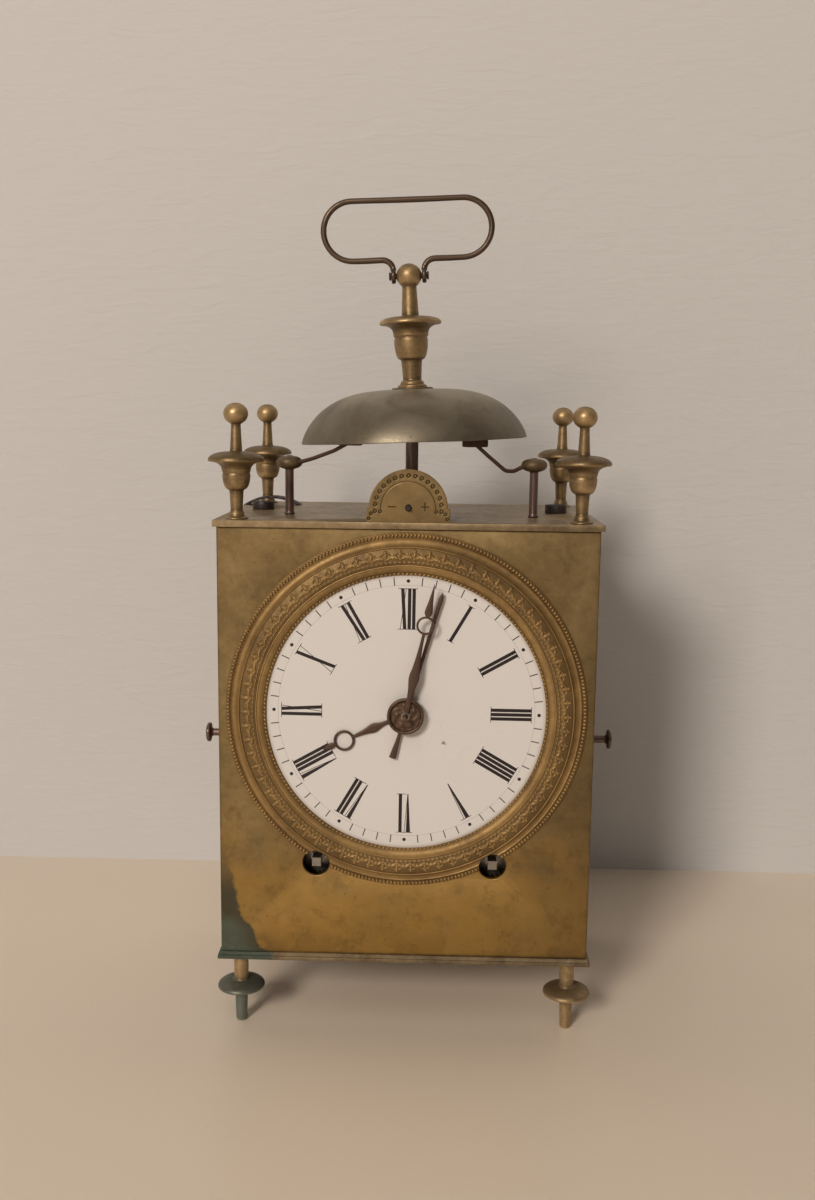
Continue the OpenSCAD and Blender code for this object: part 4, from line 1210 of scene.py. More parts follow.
@dataclass
class Bezel(Assembly):
    """Gilt ring round the dial: beaded rim, cove, stamped band, slope and rope."""

    hole_x: float = 31.0
    hole_z: float = 63.0
    hole_r: float = 4.8
    motifs: int = 70
    band_in: float = 51.7
    band_out: float = 57.1
    bead_count: int = 303
    rope_count: int = 212

    def edge(self, angle: Grid, radius: Grid) -> Grid:
        """Radius held back at the two winding holes.

        A ray from the dial's centre meets a hole where its distance along the ray is
        b minus the root of b squared minus c, with b the hole centre's distance along
        the ray and c its distance squared less the hole's radius squared.

        Args:
            angle: Clockwise angle of each point.
            radius: Radius of each point.

        Returns:
            The radius, no larger than the near side of a hole.
        """
        limit = np.full(np.broadcast(angle, radius).shape, 1e3)
        for side in (-1, 1):
            dx, dz = side * self.hole_x - DIAL.x, self.hole_z - DIAL.z
            b = dx * np.sin(angle) + dz * np.cos(angle)
            root = b * b - (dx * dx + dz * dz - self.hole_r ** 2)
            near = np.where((root > 0) & (b > 0), b - np.sqrt(np.maximum(root, 0)), 1e3)
            limit = np.minimum(limit, near)
        return np.minimum(radius, limit)

    def ring(self) -> Shell:
        """Plain mouldings, revolved, with their outer edge cut by the winding holes.

        Returns:
            The surface.
        """
        outline = np.concatenate([
            rows((51.0, 0.0), (56.0, 0.0), (60.0, 0.0), (62.2, 0.0), (62.3, 0.2), (62.3, 0.6), (62.15, 0.8)),
            rows((61.9, 0.85), (61.4, 0.85), (60.9, 0.85), (60.6, 0.95), (60.45, 1.3), (60.25, 1.45),
                 (60.05, 1.35)),
            bowl((59.9, 1.3), (57.75, 3.2), 10),
            rows((57.6, 3.4), (57.45, 3.55), (57.3, 3.5), (57.2, 3.2), (57.0, 2.9)),
            rows((55.5, 3.0), (53.5, 3.2), (51.8, 3.3), (51.62, 3.8), (51.5, 4.1), (51.3, 4.15),
                 (51.12, 3.95)),
            rows((51.05, 3.72), (50.6, 3.74), (50.1, 3.64), (49.6, 3.42), (49.25, 3.15)),
            rows((48.95, 2.8), (48.7, 2.75), (48.2, 2.7), (48.0, 2.6), (48.0, 2.45), (49.5, 2.42),
                 (51.0, 2.42))])
        angle = np.linspace(0, TURN, 900, endpoint=False)[None]
        radius = self.edge(angle, outline[:, :1] + 0 * angle)
        grid = on_dial(radius, angle + 0 * radius, outline[:, 1:] + 0 * radius)
        # Marks for the bezel brass: grooves and seats low, for grime and painted shade; bead crests high, for a
        # painted highlight.
        r, h = outline.T
        tone = np.full(len(r), 0.62)
        tone[(r > 60.3) & (h > 0.7)] = 0.32
        tone[np.abs(r - 57.45) < 0.2] = 0.9
        tone[(np.abs(r - 51.3) < 0.25) & (h > 3.7)] = 0.95
        tone[((r > 56.9) & (r < 57.25)) | ((r > 51.6) & (r < 51.9)) | ((r < 49.2) & (h > 2.5))] = 0.12
        return Shell().add(grid, round_rows=True, mark=tone[:, None])

    def stamp(self, across: Grid, along: Grid) -> Grid:
        """Height of one stamped motif, from 0 to 1.

        A round dot near the outer edge, an arch below it, three leaves that spread
        from a small knob, and a row of three dashes near the inner edge.

        Args:
            across: 0 at the inner edge of the band and 1 at the outer edge.
            along: -0.5 to 0.5 across the motif.

        Returns:
            The height at each point.
        """
        u, v = along * 4.9, across * (self.band_out - self.band_in)
        dot = np.exp(-((u ** 2 + (v - 4.5) ** 2) / 0.15) ** 2)
        reach, spread = np.hypot(u, v - 1.65), np.arctan2(u, v - 1.65)
        arch = 0.7 * np.exp(-((reach - 2.3) / 0.13) ** 2) * (np.abs(spread) < 1.3)
        leaf = np.zeros_like(reach)
        for turn in (-1.05, 0.0, 1.05):
            width = 0.24 + 0.1 * reach
            leaf = np.maximum(leaf, np.exp(-((spread - turn) * reach / width) ** 2))
        leaf = leaf * np.exp(-((reach - 1.4) / 0.8) ** 4)
        knob = 0.8 * np.exp(-((u ** 2 + (v - 1.75) ** 2) / 0.12) ** 2)
        beads = np.mod(along * 3 + 0.5, 1) - 0.5
        bud = 0.8 * np.exp(-(((np.abs(u) - 2.45) / 0.3) ** 2 + ((v - 2.6) / 0.75) ** 2))
        dash = 0.95 * np.exp(-((beads * 1.6 / 0.55) ** 2 + ((v - 0.8) / 0.26) ** 2) ** 2)
        return np.clip(dot + arch + 0.9 * leaf + knob + bud + dash, 0, 1.1)

    def band(self) -> Shell:
        """The stamped band, its height worked out for each motif round the ring.

        Returns:
            The surface.
        """
        per = 24
        v = np.linspace(0, 1, 36)[:, None]
        turns = np.arange(self.motifs * per)[None] / per
        along = np.mod(turns, 1.0) - 0.5
        crown = 3.88 - 0.62 * v ** 2 + 0.22 * (1 - (2 * v - 1) ** 2)
        wander = 1.0 + 0.25 * np.sin(turns * 0.7) * np.sin(turns * 0.23 + 1)
        relief = self.stamp(v + 0 * along, along + 0 * v) * wander
        fade = np.clip(np.minimum(v, 1 - v) / 0.05, 0, 1)
        face = crown + 0.5 * relief * fade
        angle = turns / self.motifs * TURN
        radius = self.band_in + (self.band_out - self.band_in) * v + 0 * angle
        top = on_dial(radius, angle + 0 * radius, face)
        under = on_dial(radius[[-1, 0]], angle + 0 * radius[[-1, 0]], np.full_like(radius[[-1, 0]], 2.95))
        # Raised motifs marked high for a painted highlight; the field and the underside low, for grime and painted
        # shade.
        tone = np.concatenate([0.2 + 0.8 * relief, np.zeros_like(under[..., 0])])
        return Shell().add(np.concatenate([top, under]), round_rows=True, mark=tone)

    def beads(self) -> Shell:
        """Long beads on the rim and slanting grains of the rope, as small domes.

        Returns:
            The surface.
        """
        shell = Shell()
        for count, radius, half, base, lean in ((self.bead_count, 61.4, (0.74, 0.5, 0.95), 0.85, 0.0),
                                                (self.rope_count, 48.5, (0.46, 0.5, 0.6), 2.75, 0.5)):
            p = np.linspace(-math.pi / 2, math.pi / 2, 6)[None, :, None]
            a = np.linspace(0, TURN, 8, endpoint=False)[None, None]
            angle = (np.arange(count) / count * TURN)[:, None, None]
            out = half[0] * np.cos(p) * np.cos(a)
            side = half[1] * np.cos(p) * np.sin(a) + lean * out
            high = base + half[2] * (np.sin(p) + 0 * a)
            if count == self.bead_count:
                start = radius + 0.85
                open_air = self.edge(angle[:, 0, 0], np.full(count, start)) > start - 1e-6
                angle = angle[open_air]
            r = radius + out
            grid = on_dial(r + 0 * angle, angle + side / radius, high + 0 * angle)
            # Bead tops marked high: a painted highlight on each bead.
            shell.add(grid, mark=0.6 + 0.4 * np.clip(1.4 * np.sin(p) + 0 * a + 0 * angle, 0, 1))
        return shell

    def build(self) -> None:
        """Makes the ring, the band and the beads."""
        self.report(self.ring().build("bezel_ring", 50), Body.CASE, Slot.BEZEL, "bezel")
        self.report(self.band().build("bezel_band", 60), Body.CASE, Slot.BEZEL)
        self.report(self.beads().build("bezel_beads", 60), Body.CASE, Slot.BEZEL)


@dataclass
class Dial(Assembly):
    """Enamel disc with painted numerals, a minute track and hour dots."""

    crown: float = 0.28
    face: float = 2.2
    foot: float = 29.0
    head: float = 42.9
    circle: float = 44.05
    tick: float = 46.85
    dots: float = 45.5
    print_x: float = 0.15
    print_z: float = 0.45
    print_turn: float = 0.3
    stroke: float = 1.14
    hair: float = 0.19

    def height(self, radius: Grid) -> Grid:
        """Height of the enamel off the case: a shallow dome that ends at the bezel."""
        return self.face + self.crown * np.clip(1 - (radius / 48.5) ** 2, 0, 1)

    def disc(self) -> Shell:
        """The disc: back, rim, domed face and the rolled edge of the centre hole.

        Returns:
            The surface.
        """
        r = np.linspace(50.2, 4.6, 40)
        outline = np.concatenate([
            rows((3.6, 0.05), (20, 0.0), (50.4, 0.0), (50.7, 0.4), (50.7, 1.8)),
            np.stack([r, self.height(r)], 1), rows((4.2, 2.62), (3.9, 2.66), (3.65, 2.5), (3.6, 2.2))])
        return Shell().add(turned(outline, 180, (DIAL.x, FRONT, DIAL.z), (0, -1, 0)), round_rows=True)

    def glyphs(self) -> dict[str, tuple[float, list[tuple[float, float, float, float]]]]:
        """Width of each letter, and its strokes as left and right at foot and head."""
        w, h = self.stroke, self.hair
        return {
            "I": (w, [(-w / 2, w / 2, -w / 2, w / 2)]),
            "V": (2.6, [(-0.5, -0.18, -1.3, -1.3 + 1.3 * w), (-0.38, -0.38 + h, 0.9 - h, 0.9)]),
            "X": (3.0, [(1.65 - w, 1.65, -1.8, -1.8 + w), (-1.25, -1.25 + h, 1.4 - h, 1.4)]),
            "x": (2.2, [(1.1 - w, 1.1, -0.9, -0.9 + w), (-1.1, -1.1 + h, 0.95 - h, 0.95)]),
        }

    def numeral(self, text: str, hour: int) -> Grid:
        """Corners of the strokes of one numeral, as radius and angle.

        Args:
            text: The letters.
            hour: Its hour, from 1 to 12.

        Returns:
            Strokes (n, 4, 2) with corners foot left, foot right, head right, head left.
        """
        letters = self.glyphs()
        gap = 0.37
        width = sum(letters[c][0] for c in text) + gap * (len(text) - 1)
        at, strokes = -width / 2, []
        for c in text:
            wide, parts = letters[c]
            strokes += [(at + wide / 2 + fl, at + wide / 2 + fr, at + wide / 2 + hl, at + wide / 2 + hr,
                         self.foot, self.head) for fl, fr, hl, hr in parts]
            at += wide + gap
        reach = width / 2 + 0.75
        left = -reach + (2.3 if text.startswith("V") else 0)
        right = reach - (1.6 if text == "V" else 0)
        if text not in ("V",):
            strokes.append((left, right, left, right, self.foot - self.hair / 2, self.foot + self.hair / 2))
        strokes.append((-reach, reach, -reach, reach, self.head - self.hair / 2, self.head + self.hair / 2))
        s = np.array(strokes)
        turn = math.radians(30 * hour + self.print_turn)
        across = np.stack([s[:, 0], s[:, 1], s[:, 3], s[:, 2]], 1)
        up = np.stack([s[:, 4], s[:, 4], s[:, 5], s[:, 5]], 1)
        return np.stack([across * math.cos(turn) + up * math.sin(turn),
                         -across * math.sin(turn) + up * math.cos(turn)], -1)

    def ticks(self) -> Grid:
        """Corners of the minute ticks, all but those of the hours.

        Returns:
            Corners of the ticks.
        """
        minute = np.array([m for m in range(60) if m % 5])
        turn = np.radians(6 * minute + self.print_turn)[:, None]
        half = np.array([-0.16, 0.16, 0.16, -0.16])[None]
        up = np.array([self.circle, self.circle, self.tick, self.tick])[None]
        return np.stack([half * np.cos(turn) + up * np.sin(turn),
                         -half * np.sin(turn) + up * np.cos(turn)], -1)

    def slabs(self, corners: Grid) -> Grid:
        """Thin closed slabs over the enamel, one for each stroke.

        Each slab runs from its foot to its head in equal steps, and its section is a
        small rectangle that closes onto its middle at both ends.

        Args:
            corners: Strokes (n, 4, 2).

        Returns:
            Points (n, 10, 4, 3).
        """
        t = np.concatenate([[0], np.linspace(0, 1, 8), [1]])[None, :, None]
        left = corners[:, None, 0] + t * (corners[:, None, 3] - corners[:, None, 0])
        right = corners[:, None, 1] + t * (corners[:, None, 2] - corners[:, None, 1])
        middle = (left + right) / 2
        end = np.zeros_like(t)
        end[:, [0, -1]] = 1
        left, right = left + end * (middle - left), right + end * (middle - right)
        loop = np.stack([left, left, right, right], 2)
        base = self.height(np.hypot(loop[..., 0], loop[..., 1]))
        lift = np.array([-0.1, 0.035, 0.035, -0.1])[None, None]
        return np.stack([DIAL.x + self.print_x + loop[..., 0], FRONT - base - lift,
                         DIAL.z + self.print_z + loop[..., 1]], -1)

    def print_all(self) -> Shell:
        """Numerals, minute ticks, the fine circle and the hour dots.

        Returns:
            The surface.
        """
        shell = Shell()
        texts = ("I", "II", "III", "IIII", "V", "VI", "VII", "VIII", "Ix", "X", "xI", "xII")
        strokes = [self.numeral(text, hour) for hour, text in enumerate(texts, 1)]
        shell.add(self.slabs(np.concatenate(strokes + [self.ticks()])))
        level = float(self.height(np.array(self.circle)))
        ring = rows((self.circle - 0.02, level - 0.1), (self.circle + 0.02, level - 0.1),
                    (self.circle + 0.02, level + 0.02), (self.circle - 0.02, level + 0.02))
        x, z = DIAL.x + self.print_x, DIAL.z + self.print_z
        shell.add(turned(ring, 360, (x, FRONT, z), (0, -1, 0)), round_rows=True)
        dot = rows((0, -0.1), (0.6, -0.1), (0.6, 0.03), (0.5, 0.04), (0, 0.04))
        for turn in np.radians(30 * np.arange(12) + self.print_turn):
            at = (x + self.dots * math.sin(turn), FRONT - float(self.height(np.array(self.dots))),
                  z + self.dots * math.cos(turn))
            shell.add(turned(dot, 24, at, (0, -1, 0)))
        return shell

    def build(self) -> None:
        """Makes the disc and everything painted on it."""
        self.report(self.disc().build("dial_disc", 50), Body.CASE, Slot.DIAL, "dial")
        self.report(self.print_all().build("dial_numerals", 30), Body.CASE, Slot.DIAL,
                    other=self.finishes.paint)


HAND_SINK = {"minute_hand": 1.8, "alarm_hand": 0.4, "hour_hand": 0.1}


@dataclass
class Hands(Assembly):
    """Minute, hour and alarm hands with the cast boss and its pin."""

    minute_turn: float = 11.6
    hour_turn: float = 245.4
    alarm_turn: float = 16.0
    thickness: float = 0.8
    boss_sink: float = 1.5

    def blade(self, profile: Sequence[tuple[float, float]], turn: float, node: str) -> Grid:
        """A crowned blade: at each height its section is a flattened ellipse.

        Args:
            profile: Height and half-width of each row.
            turn: Degrees clockwise from twelve.
            node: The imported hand, which gives the depth.

        Returns:
            Points of the closed blade.
        """
        track = eased(np.array(profile, float), 0.25, 2)
        a = math.radians(turn)
        path = np.stack([DIAL.x + track[:, 0] * math.sin(a), 0 * track[:, 0] + self.middle(node),
                         DIAL.z + track[:, 0] * math.cos(a)], -1)
        crown = self.thickness / 2 * np.clip(0.45 + track[:, 1], 0.45, 1.0)
        return swept(path, track[:, 1], crown, (0, 1, 0), 20, 0.72)

    def middle(self, node: str) -> float:
        """Depth of the middle of a hand's thickness, a little nearer the dial than packed."""
        low, _ = low_high(node)
        return low.y + HAND_SINK[node] + self.thickness / 2

    def eye(self, distance: float, outer: float, inner: float, turn: float, node: str) -> Grid:
        """A ring with a rounded section, centred along the hand.

        Args:
            distance: Distance of its centre from the dial's centre.
            outer: Outer radius.
            inner: Inner radius.
            turn: Degrees clockwise from twelve.
            node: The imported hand, which gives the depth.

        Returns:
            Points of the ring, round in both ways.
        """
        a = math.radians(turn)
        t = np.linspace(0, TURN, 14, endpoint=False)
        half = (outer - inner) / 2
        outline = np.stack([(outer + inner) / 2 + half * squarer(np.cos(t), 0.7),
                            self.thickness / 2 * squarer(np.sin(t), 0.7)], 1)
        at = (DIAL.x + distance * math.sin(a), self.middle(node), DIAL.z + distance * math.cos(a))
        return turned(outline, 56, at, (0, -1, 0))

    def minute(self) -> Shell:
        """Slender hand with a swelling, a ring and a lance point.

        Returns:
            The surface.
        """
        shell, node, turn = Shell(), "minute_hand", self.minute_turn
        shell.add(self.blade([(1.6, 0.75), (4.2, 0.95), (7, 0.9), (10, 1.2), (13.3, 1.78), (14.6, 1.75),
                              (17, 1.3), (20, 0.95), (25, 0.6), (29.4, 0.5)], turn, node))
        shell.add(self.eye(32.2, 3.15, 2.42, turn, node), round_rows=True)
        return shell.add(self.blade([(35.1, 0.45), (35.8, 1.1), (36.6, 1.38), (38, 1.2), (40, 0.85),
                                     (43.5, 0.45), (46.5, 0.08)], turn, node))

    def hour(self) -> Shell:
        """Shorter hand with a larger ring, and the disc that grips its pipe.

        Returns:
            The surface.
        """
        shell, node, turn = Shell(), "hour_hand", self.hour_turn
        shell.add(self.eye(0.0, 5.4, 2.6, turn, node), round_rows=True)
        shell.add(self.blade([(5.0, 0.75), (7.5, 0.7), (9.4, 0.95), (11.4, 1.6), (12.6, 1.62), (14.5, 1.1),
                              (17, 0.72), (19.9, 0.5)], turn, node))
        shell.add(self.eye(23.2, 3.65, 2.78, turn, node), round_rows=True)
        return shell.add(self.blade([(26.5, 0.45), (27.2, 0.95), (28.0, 1.18), (29.2, 0.95),
                                     (31, 0.12)], turn, node))

    def alarm(self) -> Shell:
        """Straight narrow pointer with a tail that widens to a cut end.

        Returns:
            The surface.
        """
        shell, node, turn = Shell(), "alarm_hand", self.alarm_turn
        shell.add(self.eye(0.0, 5.4, 2.7, turn, node), round_rows=True)
        shell.add(self.blade([(5.0, 0.6), (20, 0.62), (38, 0.68), (41.5, 0.8), (43, 0.62),
                              (44, 0.1)], turn, node))
        return shell.add(self.blade([(5.0, 0.5), (10, 0.72), (15.9, 1.22)], turn + 180, node))

    def cast_boss(self) -> Shell:
        """Round boss: a raised rim, a sunk field with a rosette, and the centre pin.

        The field's height is a sum of petals round the centre and a smaller ring of
        lumps, both fading to the rim.

        Returns:
            The boss and its pin.
        """
        low, high = low_high("hand_boss")
        back = high.y + self.boss_sink
        r = np.concatenate([np.linspace(0.01, 4.9, 26), np.linspace(5.0, 5.25, 3),
                            [5.45, 5.7, 6.0, 6.2, 6.3, 6.3, 6.2]])
        rim = np.interp(r, [0, 4.9, 5.25, 5.45, 5.7, 6.0, 6.2, 6.3],
                        [1.0, 1.0, 1.5, 1.72, 1.78, 1.74, 1.6, 1.35])
        rim[-2:] = (0.7, 0.3)
        a = np.linspace(0, TURN, 120, endpoint=False)[None]
        rr = r[:, None]
        petal = 0.36 * (np.cos(5 * a + 0.6 + 0.5 * np.sin(2 * a)) * 0.5 + 0.5) ** 2
        petal = petal * np.exp(-((rr - 3.1) / 0.9) ** 2)
        knot = 0.3 * (np.cos(3 * a + 1.2) * 0.5 + 0.5) * np.exp(-((rr - 1.5) / 0.7) ** 2)
        rough = 0.14 * np.sin(7 * a + 2.1 * rr) * np.exp(-((rr - 3.6) / 1.2) ** 2)
        high_map = rim[:, None] + np.where(rr < 4.95, petal + knot + rough, 0)
        grid = np.stack([DIAL.x + rr * np.sin(a), back - high_map + 0 * a, DIAL.z + rr * np.cos(a)], -1)
        foot = np.stack([DIAL.x + 2.2 * np.sin(a), back + 0 * a, DIAL.z + 2.2 * np.cos(a)], -1)
        tip = np.stack([DIAL.x + 0 * a, back + 0 * a, DIAL.z + 0 * a], -1)
        mark = np.concatenate([np.clip((high_map - 0.95) / 0.5, 0, 1), np.zeros((2, 120))])
        shell = Shell().add(np.concatenate([grid, foot, tip]), mark=mark)
        pin = rows((0, -0.2), (0.98, -0.2), (0.98, 2.2), (0.9, 2.5), (0.75, back - low.y - 0.1),
                   (0, back - low.y))
        return shell.add(turned(eased(pin, 0.12, 1), 28, (DIAL.x, back, DIAL.z), (0, -1, 0)))

    def build(self) -> None:
        """Makes the three hands and the boss."""
        self.report(self.alarm().build("hand_alarm", 50), Body.ALARM, Slot.HAND, "alarm_hand")
        self.report(self.hour().build("hand_hour", 50), Body.HOUR, Slot.HAND, "hour_hand")
        self.report(self.minute().build("hand_minute", 50), Body.CENTRE, Slot.HAND, "minute_hand")
        self.report(self.cast_boss().build("hand_rosette", 60), Body.CENTRE, Slot.HAND, "hand_boss",
                    other=self.finishes.boss)


@dataclass
class Turnings(Assembly):
    """Finials, feet and door pulls: turned brass, each from one outline."""

    columns: int = 48
    post_r: float = 2.5
    spacing: float = 0.24
    finial_shelf: float = 21.6
    foot_shelf: float = 15.1

    def corners(self) -> list[tuple[float, float]]:
        """Centres of the four corner posts, front left first.

        Returns:
            The four places.
        """
        low, high = low_high("case_pillars")
        r = self.post_r
        return [(x, y) for y in (low.y + r, high.y - r) for x in (low.x + r, high.x - r)]

    def finial_outline(self) -> Grid:
        """Stem, cup, collar, wide flange, upper stem and ball."""
        return np.concatenate([
            rows((0, 0), (4.0, 0), (4.0, 0.5)), flare((2.7, 0.8), (2.05, 2.7), 6),
            rows((2.4, 9.5), (2.45, 9.8)), bowl((2.7, 9.95), (4.8, 15.0)),
            rows((4.82, 15.3), (4.5, 15.55), (4.5, 15.75), (4.85, 15.95), (4.9, 16.7)),
            flare((5.0, 16.95), (9.5, 19.5)), rows((9.65, 19.75), (9.62, 20.05)),
            dome(2.15, 20.2, 7.4, 2.7, 88),
            rows((2.1, 22.95), (2.05, 23.6), (1.62, 31.6)), ball(1.62, 35.6, 4.2, 3.7)])

    def foot_outline(self) -> Grid:
        """Peg, neck, disc with a domed top, and the stem that meets the base."""
        return np.concatenate([
            rows((0, 0), (1.5, 0)), bowl((1.5, 0), (2.0, 0.7), 5), rows((2.3, 10.7), (2.5, 11.0)),
            flare((2.9, 11.3), (8.3, 13.0)), rows((8.5, 13.3), (8.5, 13.6)), dome(2.7, 13.8, 5.7, 1.9, 88),
            rows((2.6, 16.1), (2.55, 16.5), (2.65, BASE_Z - 0.3), (2.6, BASE_Z), (0, BASE_Z))])

    def set_of(self, outline: Grid, base: float, shelf: float) -> Shell:
        """The same turning on each corner.

        Args:
            outline: Radius and height of each row.
            base: Height where the outline starts.
            shelf: Height of the flange's upper side, where tarnish gathers.

        Returns:
            The four turnings.
        """
        shell, shape = Shell(), lathe_cut(outline, self.spacing, 2)
        # Tone from the outline's curvature: hollows low for grime and painted shade, crests high for a painted
        # highlight; the shelf below is tarnish.
        tone = np.clip(0.35 + 0.65 * np.gradient(np.gradient(shape[:, 0])) * -60 + 0.25, 0, 1)
        tone[np.abs(shape[:, 1] - shelf) < 1.7] = 0.1
        tone = blurred(tone)
        for x, y in self.corners():
            shell.add(turned(shape, self.columns, (x, y, base)), mark=tone[:, None])
        return shell

    def pull(self, side: Side) -> Shell:
        """A mushroom pull with its collar, and the rivet inside the door.

        Args:
            side: Side of the case.

        Returns:
            The surface.
        """
        node = f"{side.name.lower()}_door_knob"
        low, high = low_high(node)
        outside = CASE_RIGHT * side.value
        at = (outside, (low.y + high.y) / 2, (low.z + high.z) / 2)
        outline = np.concatenate([
            rows((0, -2.3), (1.9, -2.3), (2.0, -2.0), (2.0, -1.25), (1.2, -1.2), (1.2, 0.0), (1.9, 0.0),
                 (1.9, 0.5), (1.5, 0.9), (1.35, 8.5)),
            flare((1.55, 8.8), (3.4, 9.5), 8), rows((3.6, 9.85), (3.6, 10.4)), dome(0, 10.5, 3.5, 0.8)])
        shape = lathe_cut(outline, 0.15, 1)
        return Shell().add(turned(shape, 40, at, (side.value, 0, 0), (0, 0, 1)))

    def build(self) -> None:
        """Makes the finials, the feet and both pulls."""
        finials = self.set_of(self.finial_outline(), TOP_Z, self.finial_shelf).build("corner_finials")
        self.report(finials, Body.CASE, Slot.TURNED, "finials")
        feet = self.set_of(self.foot_outline(), 0.0, self.foot_shelf).build("turned_feet")
        self.report(feet, Body.CASE, Slot.TURNED, "feet", other=self.finishes.feet)
        for side, body in ((Side.LEFT, Body.LEFT_DOOR), (Side.RIGHT, Body.RIGHT_DOOR)):
            word = side.name.lower()
            self.report(self.pull(side).build(f"{word}_pull"), body, Slot.TURNED, f"{word}_door_knob",
                        other=self.finishes.standing)


def leaning(grid: Grid) -> Grid:
    """Points of the bell's frame, tipped to the left about the top of the standard.

    The turn is about Y: x' = x cos - h sin and h' = x sin + h cos, with h measured
    from the top of the standard.

    Args:
        grid: Points (..., 3).

    Returns:
        The points, leaned.
    """
    x, h = grid[..., 0], grid[..., 2] - LEAN_Z
    c, s = math.cos(LEAN), math.sin(LEAN)
    return np.stack([x * c - h * s, grid[..., 1], LEAN_Z + x * s + h * c], -1)


